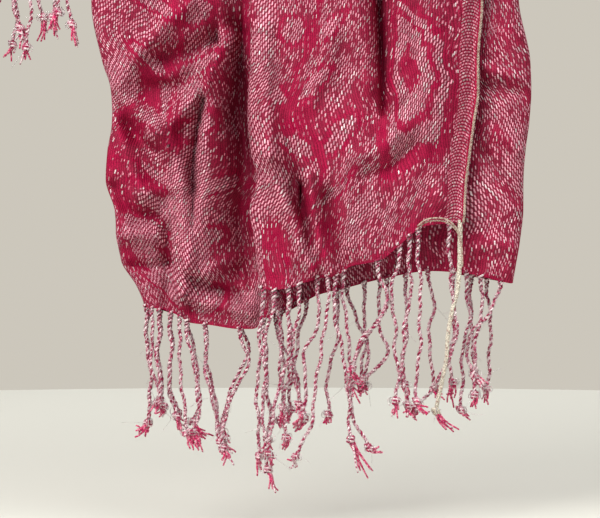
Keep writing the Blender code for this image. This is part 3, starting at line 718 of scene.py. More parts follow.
# %% Cords of the longer end
# Columns, in millimetres: layer, place of the root across, sideways sway a quarter,
# half and three quarters of the way to the knot, at the knot and at the tip, then the
# drop to the knot and to the tip
LONG_CORDS = (
    ("middle", -83.5, 0.5, 1.5, 2.0, 0.5, -3.0, 53, 61),
    ("middle", -80.5, 0.3, 0.3, 2.0, 6.0, 6.8, 44, 51),
    ("middle", -76.5, -1.0, -1.0, 0.8, -1.5, -4.0, 41, 48),
    ("middle", -71.0, 0.0, -0.5, 0.0, 2.5, 2.5, 47, 56),
    ("middle", -66.0, -0.7, 1.0, 1.7, 3.5, 5.5, 53, 63),
    ("middle", -62.5, 2.5, 4.5, 6.5, 2.5, 7.0, 50, 60),
    ("middle", -53.5, 0.5, 2.0, 5.0, 8.0, 11.0, 53, 63),
    ("middle", -35.5, 3.5, -4.0, -8.5, -8.5, -4.0, 54, 62),
    ("middle", -24.0, 1.0, 2.0, 3.0, 2.0, 3.0, 54, 62),
    ("middle", -15.0, 0.0, 1.5, 1.0, -1.0, 0.0, 50, 58),
    ("tuck", -17.0, 1.0, 2.0, 2.0, 3.0, 4.0, 52, 60),
    ("tuck", -10.5, 0.0, 1.0, 3.0, 4.0, 3.0, 48, 56),
    ("front", -24.0, -1.5, -2.5, -3.0, -1.5, -3.7, 78, 86),
    ("front", -18.5, -4.5, -5.0, -5.3, -2.9, 0.6, 84, 97),
    ("front", -11.5, 0.6, -2.6, -8.0, -9.3, -9.0, 77, 85),
    ("front", -6.0, -1.6, -5.2, -7.0, -7.0, -6.0, 71, 78),
    ("front", 3.5, 0.0, -6.3, -6.5, -7.0, -7.5, 62, 69),
    ("front", 8.5, -1.5, -5.7, -7.5, -16.0, -18.0, 84, 90),
    ("front", 12.0, 0.5, 5.0, 6.5, 8.0, 13.5, 76, 94),
    ("front", 16.0, 1.5, 4.5, 4.0, 12.5, 15.0, 82, 89),
    ("front", 33.5, 3.7, 0.5, -10.2, -13.0, -14.0, 48, 55),
    ("front", 44.0, -3.5, -2.0, -0.5, 5.0, 6.5, 74, 81),
    ("front", 49.0, 0.7, -1.7, -3.7, -6.2, -5.0, 76, 84),
    ("front", 53.5, 0.7, 1.2, 0.0, -1.0, 3.5, 80, 90),
    ("front", 69.5, 0.5, 3.5, -1.0, -16.2, -19.5, 87, 92),
    ("front", 74.8, -0.5, -5.0, -7.5, -12.0, -7.0, 89, 101),
    ("back", -83.0, 0.5, 1.5, 2.0, 0.5, -3.0, 53, 61),
    ("back", -76.3, -1.0, -1.0, 0.8, -1.5, -4.0, 41, 48),
    ("back", -70.8, 0.0, -0.5, 0.0, 2.5, 2.5, 47, 56),
    ("back", -62.3, 2.5, 4.5, 6.5, 2.5, 7.0, 50, 60),
    ("back", -53.4, 0.5, 2.0, 5.0, 8.0, 11.0, 54, 63),
    ("back", -35.5, 3.5, -4.0, -8.5, -8.5, -4.0, 56, 64),
    ("back", -24.0, 1.0, 2.0, 3.0, 2.0, 3.0, 56, 64),
    ("back", -17.5, 4.0, 10.5, 12.0, 13.5, 14.0, 46, 53),
    ("back", -2.5, -3.5, -6.0, -7.5, -8.0, -7.5, 49, 56),
    ("back", 13.5, 0.5, -3.0, -5.0, -5.0, -4.5, 57, 64),
    ("back", 18.5, 5.0, 10.0, 7.0, 7.0, 8.0, 42, 52),
    ("back", 27.0, 0.5, 1.0, 1.5, 0.5, 1.0, 46, 54),
    ("back", 35.0, 0.0, 0.3, 4.0, -7.5, -8.0, 44, 52),
    ("back", 38.5, -1.0, -10.0, -16.0, -17.0, -16.0, 46, 55),
    ("back", 48.0, 1.0, 0.0, -1.0, 0.0, 1.5, 50, 58),
    ("back", 59.5, 3.0, 0.5, 1.0, 4.0, 6.5, 53, 60),
    ("back", 72.0, 1.0, 0.0, -1.5, 0.5, -1.5, 50, 61),
    ("back", 79.0, 1.0, -1.5, -2.5, -3.0, 1.0, 63, 69),
    ("back", 86.0, 0.0, -2.3, -4.0, -3.0, -0.5, 54, 60),
    ("back", 95.5, -6.0, -14.0, -16.5, -13.7, -10.0, 42, 48),
    ("return", 90.0, 1.0, 2.0, 1.0, -0.5, 0.5, 50, 57),
    ("return", 82.0, -0.5, 0.5, 2.0, 1.0, 2.0, 54, 61),
)
PALE_CORD = 74.8

# Cords of the shorter end by layer: first and last root across, count
SHORT_CORDS = {
    "middle": (-102, -16, 10),
    "tuck": (-24, -14, 2),
    "front": (-30, 77, 11),
    "back": (-96, 94, 17),
    "return": (82, 93, 2),
}
SHORT_KNOT_DROP = 66
SHORT_TIP_DROP = 75


def short_cords():
    """Rows of the shorter end's cords, with uneven sways and drops."""
    rows = []
    for layer, (first, last, count) in SHORT_CORDS.items():
        for root in np.linspace(first, last, count):
            turn = len(rows) * 2.4
            sways = [1.6 * math.sin(turn + step) * (step + 1) / 2 for step in range(5)]
            drop = SHORT_KNOT_DROP + 9 * math.sin(turn * 1.7)
            rows.append((layer, root, *sways, drop, drop + SHORT_TIP_DROP - SHORT_KNOT_DROP))
    return rows


print(len(LONG_CORDS), "and", len(short_cords()), "cords")

# %% [markdown]
# A particle system could grow hairs from the hem, but it can't tie knots. So a cord is
# a middle line with its sways, around which the plies wind. Its knot is two short coils
# with loops of silver thread, and its brush is a tuft of yarns that bend together.

# %% Twist, knot and fray a cord
MAGENTA, PALE, SILVER, FRAYED, CREAM = range(5)
STRIP_DEPTH = 6.0
PLY_RADIUS = 0.54
TWIST_PITCH = 3.8
CORD_STEP = 0.62
LOOPS_IN_KNOT = 4
LOOP_RADIUS = 0.20
BRUSH_YARNS = 8
BRUSH_SPREAD = 1.1
BRUSH_BEND = 2.0
BRUSH_CURL = 1.2
BRUSH_RIPPLE = 0.40
HAIR_RADIUS = 0.10
FLOOR_LEVEL = -0.920


def wound(centre, spread, pitch, start):
    """Path that winds round a centre line at a distance, in even turns."""
    first, second = carried_frames(centre)
    steps = np.linalg.norm(np.diff(centre, axis=0), axis=1)
    along = np.concatenate([[0], np.cumsum(steps)])
    turn = (2 * math.pi * along / pitch + start)[:, None]
    spread = np.broadcast_to(spread, len(centre))[:, None]
    return centre + spread * (first * np.cos(turn) + second * np.sin(turn))


def cord_centre(root, side, cord, lean):
    """Middle line of a cord from its root to its knot, in millimetres."""
    _, _, quarter, half, late, knot, _, knot_drop, _ = cord
    sways = np.array([0, 0, quarter, half, late, knot])
    drops = np.array([-STRIP_DEPTH - 1.2, -2, 0.25 * knot_drop, 0.5 * knot_drop,
                      0.75 * knot_drop, knot_drop])
    share = np.clip(drops / knot_drop, 0, 1)
    route = np.stack([root[0] + side * sways, root[1] - lean * share,
                      root[2] - STRIP_DEPTH - drops], axis=-1)
    length = np.linalg.norm(np.diff(route, axis=0), axis=1).sum()
    path = even_curve(route, max(12, int(length / CORD_STEP)))
    along = np.linspace(0, length, len(path))
    fade = np.clip(along / 12, 0, 1)
    size = 0.25 if cord[1] == PALE_CORD else 1.0
    draw = np.random.default_rng(round(1000 + 100 * quarter + 10 * half))
    for axis in (0, 1):
        first, second = draw.uniform(0, 6.3, 2)
        kink = 0.40 * np.sin(along / 2.6 + first) + 0.60 * np.sin(along / 5.1 + second)
        path[:, axis] += size * kink * fade
    return path


def add_knot(yarns, centre, finishes, draw):
    """A tight round knot, two winds with loops of silver thread standing out."""
    tilt = draw.uniform(-0.5, 0.5, 2)
    for finish, start, radius in zip(finishes, (0.0, 2.4), (0.66, 0.72)):
        turn = np.linspace(0, 4.2 * math.pi, 30) + start + draw.uniform(0, 2)
        rise = np.linspace(1.5, -1.5, len(turn))
        swell = 1.35 + 0.35 * np.sin(np.linspace(0, math.pi, len(turn)))
        path = np.stack([swell * np.cos(turn) + tilt[0] * rise,
                         swell * np.sin(turn) + tilt[1] * rise, rise], axis=-1)
        yarns.add(centre + path, radius, 5, finish)
    for _ in range(LOOPS_IN_KNOT):
        turn = np.linspace(0, 2 * math.pi, 11)
        size = draw.uniform(1.2, 3.0)
        heading = draw.uniform(0, 2 * math.pi)
        outward = 1.2 + size * (1 - np.cos(turn)) / 2
        path = np.stack([outward * math.cos(heading), outward * math.sin(heading),
                         size * 0.7 * np.sin(turn) + draw.uniform(-1, 1)], axis=-1)
        yarns.add(centre + path, LOOP_RADIUS, 3, SILVER)


def add_brush(yarns, centre, direction, length, draw):
    """The frayed end below a knot: yarns that bend together and spread at their tips."""
    bend = draw.normal(0, BRUSH_BEND, 3) / length
    for _ in range(BRUSH_YARNS):
        heading = unit(direction + draw.normal(0, BRUSH_SPREAD, 3) / length)
        curl = bend + draw.normal(0, BRUSH_CURL, 3) / length
        reach = length * draw.uniform(0.60, 1.10)
        share = np.linspace(0, 1, 7)[:, None]
        start = centre + draw.normal(0, 0.6, 3)
        ripple = draw.normal(0, BRUSH_RIPPLE, 3) * np.sin(share * draw.uniform(4, 9))
        path = start + heading * reach * share + curl * reach * share ** 2 + ripple
        thickness = np.linspace(0.62, 0.44, 7)
        yarns.add(path, thickness, 5, FRAYED if draw.random() < 0.8 else PALE)


def add_hair(yarns, centre, draw):
    """One stray silver hair that springs out of a cord."""
    heading = unit(np.array([draw.normal(0, 1), draw.normal(0, 0.6), draw.normal(-0.5, 0.5)]))
    share = np.linspace(0, 1, 9)[:, None]
    path = centre + heading * draw.uniform(5, 13) * share + draw.normal(0, 2.5, 3) * share ** 2
    path[:, 2] = np.maximum(path[:, 2], FLOOR_LEVEL / MM + 2)
    yarns.add(path, HAIR_RADIUS, 3, SILVER)


print("a cord is", round(4 * PLY_RADIUS, 1), "mm thick")


# %% [markdown]
# Every cord starts inside the hem, at its own place across its own layer, so the root
# is read from the cloth's first or last row. All cords of one end go into one mesh.


# %% Hang the two fringes
SILVER_SPREAD = 1.08
SILVER_RADIUS = 0.16


def add_cord(yarns, root, side, cord, lean, draw):
    """One cord of a fringe with its knot, brush and hairs."""
    pale = cord[1] == PALE_CORD
    centre = cord_centre(root, side, cord, lean)
    along = np.linspace(0, 1, len(centre)) * len(centre) * CORD_STEP
    start = draw.uniform(0, 6.3)
    if pale:
        for ply in range(4):
            thickness = np.linspace(0.70, 0.50, len(centre))
            yarns.add(wound(centre, 0.58, 15.0, start + ply * math.pi / 2), thickness, 6, CREAM)
    else:
        spread = 0.50 + 1.2 * np.exp(-along / 3.0)
        pitch = TWIST_PITCH * draw.uniform(0.85, 1.25)
        lumps = 1 + 0.16 * np.sin(along / 1.9 + start)
        yarns.add(wound(centre, spread, pitch, start), PLY_RADIUS * lumps, 5, MAGENTA)
        yarns.add(wound(centre, spread, pitch, start + math.pi), PLY_RADIUS / lumps, 5, PALE)
        silver = wound(centre[::2], SILVER_SPREAD, pitch * 1.7, start)
        yarns.add(silver, SILVER_RADIUS, 3, SILVER)
    add_knot(yarns, centre[-1], (CREAM, CREAM) if pale else (PALE, MAGENTA), draw)
    fall = np.array([side * (cord[6] - cord[5]), draw.normal(0, 1.0), cord[7] - cord[8]])
    add_brush(yarns, centre[-1], unit(fall), np.linalg.norm(fall) - 1.5, draw)
    for place in (centre[-1], centre[int(len(centre) * draw.uniform(0.3, 0.9))]):
        if draw.random() < 0.55:
            add_hair(yarns, place, draw)


def hang_fringe(edge, side, cords, seed):
    """All the cords of one end, rooted in its hem."""
    draw = np.random.default_rng(seed)
    across = side * edge[:, 0] / MM - TAIL_MIDDLE
    yarns = Yarns()
    for index, cord in enumerate(cords):
        inside = np.flatnonzero(layer_share[cord[0]] > 0.5)
        order = inside[np.argsort(across[inside])]
        root = [np.interp(cord[1], across[order], edge[order, axis]) for axis in range(3)]
        lean = (index % 3 - 1) * 2.5
        add_cord(yarns, np.array(root) / MM, side, cord, lean, draw)
    return yarns


long_yarns = hang_fringe(cloth[0], 1, LONG_CORDS, 21)
short_yarns = hang_fringe(cloth[-1], -1, short_cords(), 22)
print(len(long_yarns.points), "and", len(short_yarns.points), "tubes")

# %% [markdown]
# ## Shader arithmetic
#
# Weaves are repeats, and a repeat is arithmetic on the place in the cloth. Wiring Math
# nodes by hand gets long, so this small class adds one Math node for each operator.
# What it makes is an ordinary node tree, which the shader editor shows.


# %% Arithmetic that adds nodes
class Wire:
    """A number that flows between nodes. Arithmetic on it adds Math nodes."""

    def __init__(self, tree, socket):
        self.tree = tree
        self.socket = socket

    def step(self, operation, *others):
        """One Math node with this wire as its first input."""
        node = self.tree.nodes.new("ShaderNodeMath")
        node.operation = operation
        for place, value in enumerate((self, *others)):
            plug(self.tree, value, node.inputs[place])
        return Wire(self.tree, node.outputs[0])

    def __add__(self, other):
        return self.step("ADD", other)

    def __sub__(self, other):
        return self.step("SUBTRACT", other)

    def __mul__(self, other):
        return self.step("MULTIPLY", other)

    def __truediv__(self, other):
        return self.step("DIVIDE", other)

    def soft(self, start, end):
        """A soft step: 0 at start and 1 at end."""
        node = self.tree.nodes.new("ShaderNodeMapRange")
        node.interpolation_type = "SMOOTHSTEP"
        plug(self.tree, self, node.inputs["Value"])
        node.inputs["From Min"].default_value = start
        node.inputs["From Max"].default_value = end
        return Wire(self.tree, node.outputs["Result"])

    def near(self, target, width):
        """1 close to a target and 0 beyond a width from it."""
        return (self - target).step("ABSOLUTE").soft(width, width * 0.55)

    def flipped(self):
        """1 minus this."""
        return self * -1.0 + 1.0


def plug(tree, value, socket):
    """Connect a wire to a socket, or set the socket to a number."""
    if isinstance(value, Wire):
        tree.links.new(value.socket, socket)
    else:
        socket.default_value = value


def pair(tree, first, second):
    """Join two wires into one vector."""
    node = tree.nodes.new("ShaderNodeCombineXYZ")
    plug(tree, first, node.inputs[0])
    plug(tree, second, node.inputs[1])
    return node.outputs[0]


def chance(tree, first, second):
    """A number from 0 to 1 for each pair of whole numbers, always the same one."""
    node = tree.nodes.new("ShaderNodeTexWhiteNoise")
    node.noise_dimensions = "2D"
    tree.links.new(pair(tree, first, second), node.inputs["Vector"])
    return Wire(tree, node.outputs["Value"])


def cloud(tree, first, second, size):
    """Soft noise of a size in the wires' own unit, from 0 to 1."""
    node = tree.nodes.new("ShaderNodeTexNoise")
    node.noise_dimensions = "2D"
    tree.links.new(pair(tree, first / size, second / size), node.inputs["Vector"])
    node.inputs["Scale"].default_value = 1.0
    return Wire(tree, node.outputs["Fac"])


def blend_tones(tree, share, first, second):
    """Blend two colours, each given as a socket or as a tuple."""
    node = tree.nodes.new("ShaderNodeMix")
    node.data_type = "RGBA"
    plug(tree, share, node.inputs["Factor"])
    colours = [socket for socket in node.inputs if socket.type == "RGBA"]
    for value, socket in zip((first, second), colours):
        if isinstance(value, tuple):
            socket.default_value = value
        else:
            tree.links.new(value, socket)
    return next(socket for socket in node.outputs if socket.type == "RGBA")


def shaded(tree, colour, brightness):
    """Make a colour lighter or darker by a wire."""
    node = tree.nodes.new("ShaderNodeVectorMath")
    node.operation = "SCALE"
    tree.links.new(colour, node.inputs[0])
    plug(tree, brightness, node.inputs["Scale"])
    return node.outputs[0]


def new_finish(name, roughness, sheen):
    """A material with its tree and its Principled shader."""
    finish = bpy.data.materials.new(name)
    finish.use_nodes = True
    shader = finish.node_tree.nodes["Principled BSDF"]
    shader.inputs["Roughness"].default_value = roughness
    shader.inputs["Sheen Weight"].default_value = sheen
    shader.inputs["Sheen Roughness"].default_value = 0.5
    shader.inputs["Specular IOR Level"].default_value = 0.2
    return finish, finish.node_tree, shader


def thread_places(tree):
    """The two UV coordinates as wires, in millimetres."""
    node = tree.nodes.new("ShaderNodeUVMap")
    node.uv_map = "threads"
    split = tree.nodes.new("ShaderNodeSeparateXYZ")
    tree.links.new(node.outputs["UV"], split.inputs[0])
    return Wire(tree, split.outputs[0]) * 1000.0, Wire(tree, split.outputs[1]) * 1000.0


def raise_relief(tree, shader, height, distance):
    """Bump from a wire, in metres."""
    node = tree.nodes.new("ShaderNodeBump")
    node.inputs["Strength"].default_value = 1.0
    node.inputs["Distance"].default_value = distance
    plug(tree, height, node.inputs["Height"])
    tree.links.new(node.outputs["Normal"], shader.inputs["Normal"])


print("shader arithmetic ready")

# %% [markdown]
# ## Jacquard weave
#
# In this cloth a pale weft thread passes over the magenta warp in short dashes, set
# like bricks. Where the loom lifts it at every step the cloth looks pink, and where
# it stays below, the cloth is plain magenta with a few dashes of silver thread. The
# shader cuts the cloth into cells of one dash each and asks the pattern once for each
# cell, so a dash is either there or not, as on the loom. The design is never even on
# a folded cloth, so a table of patches first thickens or thins it in places.
# Two of the patches thin the dashes in a deep crease and in a hollow, as painted shade.

# %% Patches of closer and thinner dashes
# Patches where the dashes stand closer (plus) or thinner (minus) on the right side, and
# the other way round on the wrong side. Columns, in millimetres: place from the
# selvedge, place from the hem, half width, half length, change of density
DENSITY_AND_SHADE = (
    (107, 85, 9, 60, 0.45),
    (92, 88, 12, 8, -0.30),
    (104, 18, 11, 18, -0.60),
    (99, 50, 6, 13, 0.45),
    (94, 32, 5, 13, 0.45),
    (88, 13, 6, 12, 0.45),
    # Painted shade: thins the dashes in the hollow of the pocket crease, so it reads darker.
    (88, 42, 5, 9, -0.60),
    (71, 26, 8, 15, -0.30),
    (52, 22, 16, 16, 0.30),
    # Painted shade: thins the dashes inside the deep slit crease, so it reads darker.
    (45, 120, 3.5, 60, -0.60),
    (197, 90, 7, 40, 0.50),
    (203, 55, 9, 32, 0.60),
    (206, 28, 8, 24, 0.50),
    (112.5, 26, 2.4, 32, 1.30),
    (231, 118, 8, 12, 0.50),
    (207, 116, 9, 11, 0.40),
    (218, 100, 8, 8, 0.35),
    (213, 80, 11, 8, 0.35),
    (216, 58, 10, 10, 0.50),
    (227, 40, 8, 14, 0.50),
    (218, 20, 10, 12, 0.45),
    (178, 12, 12, 9, 0.45),
    (220, 114, 6, 12, -0.60),
    (229, 96, 7, 10, -0.60),
    (204, 104, 6, 14, -0.50),
    (219, 68, 10, 4, -0.60),
    (225, 52, 12, 4, -0.60),
    (232, 28, 6, 10, -0.50),
    (236, 68, 8, 16, -0.30),
    (432, 70, 9, 13, 0.45),
    (437, 8, 22, 16, 0.45),
    (408, 10, 18, 16, 0.30),
    (440, 50, 14, 50, -0.25),
)


def oval(across, along, half_width, half_length):
    """Distance from the middle of an oval: 1 on its outline, less inside it."""
    across, along = across / half_width, along / half_length
    return (across * across + along * along).step("SQRT")


def density(u, v):
    """Change of density at a place of the cloth, from the table; two rows are painted shade."""
    change = 0.0
    for middle_u, middle_v, half_width, half_length, amount in DENSITY_AND_SHADE:
        away = oval(u - middle_u, v - middle_v, half_width, half_length)
        change = away.soft(1.25, 0.75) * amount + change
    return change


print(len(DENSITY_AND_SHADE), "patches of another density")

# %% [markdown]
# The pattern is a generic one: drop shapes with outlines, sprays of leaves and small
# rosettes. A painted picture would have to be as long as the scarf. Here each motif is
# an oval that is bent, scalloped or repeated by arithmetic, and its outline is a thin
# line of bare warp round it.

# %% Pattern of drops, leaves and rosettes
REPEAT_WIDTH = 123.0
REPEAT_HEIGHT = 176.0


def strongest(first, *others):
    """The highest of several wires at each place."""
    for other in others:
        first = first.step("MAXIMUM", other)
    return first


def pattern(tree, u, v, change):
    """How close the pale dashes stand at a place, from 0 to 1."""
    stir = cloud(tree, u, v, 26.0) * 9.0 - 4.5
    wobble = cloud(tree, v, u, 19.0) * 9.0 - 4.5
    column = (u / REPEAT_WIDTH).step("FLOOR")
    x = (u / REPEAT_WIDTH).step("FRACT") * REPEAT_WIDTH - REPEAT_WIDTH / 2 + stir
    y = ((v / REPEAT_HEIGHT + column * 0.5).step("FRACT") - 0.5) * REPEAT_HEIGHT + wobble

    rise = (y - 6.0) / 52.0
    bend = rise.step("MAXIMUM", 0.0)
    drop_x = x + 20.0 - bend * bend * 20.0
    narrow = (rise * -0.42 + 0.66).step("MAXIMUM", 0.15)
    angle = drop_x.step("ARCTAN2", rise * 30.0)
    scallop = (angle * 9.0).step("COSINE") * 0.05 + 1.0
    drop = oval(drop_x / narrow, rise, 26.0, 1.0) / scallop

    stem = x - 36.0 - (y / 14.0).step("SINE") * 6.0
    mirrored = stem.step("ABSOLUTE")
    step_up = (y / 29.3).step("FRACT") * 29.3 - 14.6
    leaf_along = (mirrored - 11.0) * 0.77 + step_up * 0.64
    leaf_across = step_up * 0.77 - (mirrored - 11.0) * 0.64
    leaf = oval(leaf_across, leaf_along, 4.6, 10.5)

    rose_y = (y - 74.0).step("WRAP", REPEAT_HEIGHT / 2, -REPEAT_HEIGHT / 2)
    rose_x = x + 14.0
    petals = (rose_y.step("ARCTAN2", rose_x) * 6.0).step("COSINE") * 0.20 + 1.0
    rose = oval(rose_x, rose_y, 15.0, 15.0) / petals

    ground = cloud(tree, u, v, 34.0).soft(0.36, 0.60) * 0.44 + 0.35 + change
    dense = strongest(drop.soft(1.02, 0.98), rose.soft(1.04, 0.96), leaf.soft(1.06, 0.94) * 0.9)
    tone = ground + ground.flipped() * dense
    outlines = strongest(drop.near(1.02, 0.13), drop.near(0.62, 0.08), drop.soft(0.30, 0.24),
                         stem.near(0.0, 2.4), leaf.near(1.12, 0.24),
                         rose.near(1.10, 0.17), rose.soft(0.40, 0.30))
    kept = change.step("MAXIMUM", 0.0) * 1.3 - 0.96
    tone = tone * (outlines * kept + 1.0) * (change.step("MINIMUM", 0.0) * 0.75 + 1.0)
    tone = tone + change * 0.30
    return tone.step("MAXIMUM", 0.0).step("MINIMUM", 1.0)


print("pattern repeat", REPEAT_WIDTH, "by", REPEAT_HEIGHT, "mm")

# %% [markdown]
# Seen close, the right side has four things: the magenta warp with its grooves, the
# short pale dashes, longer floats of silver thread where the dashes are few, and a
# ribbed band beside each selvedge. A picture of cloth would blur when the camera comes
# near. Here each of the four is a mask from 0 to 1, which stays sharp at any distance.
# Near the middle of the cloth the binding is closer, so the dashes are smaller there.

# %% Cells, dashes and floats
DASH_PITCH = 1.22
DASH_LENGTH = 3.0
DASH_LEAN = 0.45
DASH_SWELL = 0.12
CLOSE_BINDING = 140.0
CLOSE_PITCH = 0.96
CLOSE_LENGTH = 2.2
FLOAT_PITCH = 1.05 * DASH_PITCH
FLOAT_LENGTH = 1.1 * DASH_LENGTH
FLOAT_SHIFT = 0.4
BAND_START = 2.0
BAND_END = 10.5
BAND_PITCH = 1.7
BAND_ARCH = 0.16


def dash_cells(tree, u, v, pitch, length):
    """Which cell of the weave a place is in, and where in that cell, from -0.5 to 0.5."""
    column = (u / pitch).step("FLOOR")
    across = (u / pitch).step("FRACT") - 0.5
    stagger = (column * 0.5).step("FRACT") + chance(tree, column, column) * 0.25
    row = (v / length + stagger).step("FLOOR")
    along = (v / length + stagger).step("FRACT") - 0.5
    return column, row, across, along, (column + 0.5) * pitch, (row + 0.5 - stagger) * length


def pale_dashes(tree, tone, cells):
    """Mask of the pale dashes. The denser they stand, the fatter they are."""
    column, row, across, along, _, _ = cells
    leaning = (across + along * DASH_LEAN).step("ABSOLUTE")
    swell = tone * DASH_SWELL
    dash = (leaning - swell).soft(0.27, 0.01) * (along.step("ABSOLUTE") - swell).soft(0.34, 0.12)
    return (chance(tree, column, row) - tone).soft(0.03, -0.03) * dash


def silver_floats(tree, u, v, tone):
    """Mask of the silver floats, and a mask of the floats painted near-white as a glint."""
    column, row, across, along, middle_u, middle_v = dash_cells(
        tree, u + FLOAT_SHIFT, v, FLOAT_PITCH, FLOAT_LENGTH)
    every_second = (column * 0.5).step("FRACT").soft(0.3, 0.2)
    leaning = (across + along * DASH_LEAN).step("ABSOLUTE")
    thin = leaning.soft(0.24, 0.06) * along.step("ABSOLUTE").soft(0.36, 0.20)
    often = cloud(tree, middle_v, middle_u, 11.0).soft(0.50, 0.64) * 0.40 + 0.36
    there = (chance(tree, row, column + 0.5) - often).soft(0.02, -0.02)
    # Painted glint: a random share of the floats is picked to be near-white.
    painted_glint = chance(tree, column, row + 0.5).soft(0.70, 0.80)
    return there * every_second * thin * tone.soft(0.70, 0.45), painted_glint


def band_ribs(u, v, edge):
    """Mask of the ribs in the band beside each selvedge."""
    inside = edge.soft(BAND_START - 0.5, BAND_START) * edge.soft(BAND_END, BAND_END - 0.5)
    arch = (edge - (BAND_START + BAND_END) / 2) * BAND_ARCH
    rib = (v + arch * arch * 4.0) / BAND_PITCH
    rib_along = (rib.step("FRACT") - 0.5).step("ABSOLUTE").soft(0.36, 0.18)
    rib_across = ((u / DASH_PITCH + rib.step("FLOOR") * 0.5).step("FRACT") - 0.5).step("ABSOLUTE")
    return rib_along * rib_across.soft(0.44, 0.26) * inside


print("dashes", DASH_PITCH, "by", DASH_LENGTH, "mm, near the middle", CLOSE_PITCH, "by", CLOSE_LENGTH)

# %% [markdown]
# Every thread takes the dye a little differently, so one magenta for the whole cloth
# would look printed. The warp gets streaks, painted shade in the grooves between its
# threads and a painted shadow where the pale weft crowds it. The masks then lay pale and
# silver thread over it, and a random share of the silver is painted near-white as a
# glint. On the wrong side the pattern is reversed: dense places read thin there.

# %% Weave finish
MAGENTA_TONE = (0.308, 0.0008, 0.037, 1.0)
PALE_TONE = (0.860, 0.368, 0.465, 1.0)
SILVER_AND_GLINT_TONE = (0.930, 0.860, 0.860, 1.0)
DIM_SILVER_TONE = (0.55, 0.16, 0.23, 1.0)
CREAM_TONE = (0.710, 0.655, 0.545, 1.0)
PLAIN_HEM = 2.2
WEAVE_RELIEF = 0.00028


def warp_colour(tree, u, v, tone, cells):
    """Colour of the magenta warp between the dashes, with painted shade."""
    column, across = cells[0], cells[2]
    fibres = cloud(tree, u, v, 0.6).soft(0.25, 0.75) * 0.60 + 0.70
    streak = chance(tree, column, 3.0) * 0.22 + cloud(tree, u, v, 3.0) * 0.34 + 0.74
    # Painted shade: the warp darkens in the grooves between its threads, and where the pale dashes
    # stand close.
    groove_shade = across.step("ABSOLUTE").soft(0.20, 0.5) * -0.40 + 1.0
    shadow = tone * -0.34 + 1.0
    magenta = blend_tones(tree, tone * 0.06 + cloud(tree, u, v, 8.0) * 0.05, MAGENTA_TONE, PALE_TONE)
    return shaded(tree, magenta, streak * groove_shade * shadow * fibres), fibres


def weave_finish():
    """The cloth's material, with its right and wrong sides."""
    finish, tree, shader = new_finish("jacquard_weave", 0.85, 0.0)
    shader.inputs["Specular IOR Level"].default_value = 0.05
    wrong = tree.nodes.new("ShaderNodeAttribute")
    wrong.attribute_name = "wrong_side"
    wrong = Wire(tree, wrong.outputs["Fac"])
    u, v = thread_places(tree)
    u = u + cloud(tree, u, v, 11.0) * 0.9
    v = v + cloud(tree, v, u, 14.0) * 2.0
    edge = u.step("MINIMUM", u * -1.0 + CLOTH_WIDTH)
    hem = v.step("MINIMUM", v * -1.0 + CLOTH_LENGTH)
    change = density(u, v)
    u = u + cloud(tree, u, v, 75.0) * 26.0

    close = edge.step("GREATER_THAN", CLOSE_BINDING)
    cells = dash_cells(tree, u, v, close * (CLOSE_PITCH - DASH_PITCH) + DASH_PITCH,
                       close * (CLOSE_LENGTH - DASH_LENGTH) + DASH_LENGTH)
    column, row, across, _, cell_u, cell_v = cells
    tone = pattern(tree, cell_u, cell_v, change)
    tone = tone + wrong * (tone * -1.60 + 0.98)
    open_cloth = hem.soft(PLAIN_HEM - 0.8, PLAIN_HEM + 0.8) * edge.soft(BAND_END - 0.4, BAND_END + 0.4)
    tone = tone * open_cloth
    pale = pale_dashes(tree, tone, cells)
    silver, painted_glint = silver_floats(tree, u, v, tone)
    silver = silver * open_cloth * pale.flipped()
    pale = pale.step("MAXIMUM", band_ribs(u, v, edge) * 0.85)

    magenta, fibres = warp_colour(tree, u, v, tone, cells)
    shining = chance(tree, row, column + 0.5)
    # Painted glint: a random share of the pale dashes is blended towards near-white silver.
    pale_tone = blend_tones(tree, shining.soft(0.80, 0.95) * 0.7, PALE_TONE, SILVER_AND_GLINT_TONE)
    pale_tone = shaded(tree, pale_tone, (chance(tree, row, column) * 0.65 + 0.52) * fibres)
    colour = blend_tones(tree, pale, magenta, pale_tone)
    # Painted glint: the picked floats take near-white silver, the others a dim silver.
    silver_tone = blend_tones(tree, painted_glint, DIM_SILVER_TONE, SILVER_AND_GLINT_TONE)
    colour = blend_tones(tree, silver, colour, silver_tone)
    tree.links.new(colour, shader.inputs["Base Color"])
    glint = (pale * shining.soft(0.80, 0.84) * 0.6).step("MAXIMUM", silver * painted_glint)
    plug(tree, glint * 0.35, shader.inputs["Metallic"])
    plug(tree, glint * -0.50 + 0.82, shader.inputs["Roughness"])
    thread = (across * (2 * math.pi)).step("COSINE") * 0.25
    raise_relief(tree, shader, thread + pale * 0.7 + silver * 0.8, WEAVE_RELIEF)
    return finish


weave = weave_finish()
for piece in (long_cloth, neck_cloth, short_cloth):
    piece.data.materials.append(weave)
print("weave has", len(weave.node_tree.nodes), "nodes")

# %% [markdown]
# ## Yarn finishes
#
# Each ply is spun from threads of two colours, so it changes tone along its length.
# A slanting ripple in the bump reads as spun fibre, which costs no triangles, and silver
# thread is a metallic finish of low roughness, which catches the lamps in small points.


# %% Finishes of the yarns
def yarn_finish(name, first, second, share, roughness, metallic):
    """Spun yarn that changes between two tones along its length."""
    finish, tree, shader = new_finish(name, roughness, 0.10)
    shader.inputs["Metallic"].default_value = metallic
    around, along = thread_places(tree)
    around, along = around / 1000.0, along / 100.0
    patch = cloud(tree, along + around * 0.6, around, 1.5).soft(share - 0.07, share + 0.07)
    strand = (along * 9.0 + around * 12.566).step("SINE")
    colour = blend_tones(tree, patch, first, second)
    lumps = cloud(tree, along, around, 0.35).soft(0.30, 0.70)
    colour = shaded(tree, colour, strand * 0.18 + lumps * 0.75 + 0.50)
    tree.links.new(colour, shader.inputs["Base Color"])
    raise_relief(tree, shader, strand * 0.5, 0.0001)
    return finish


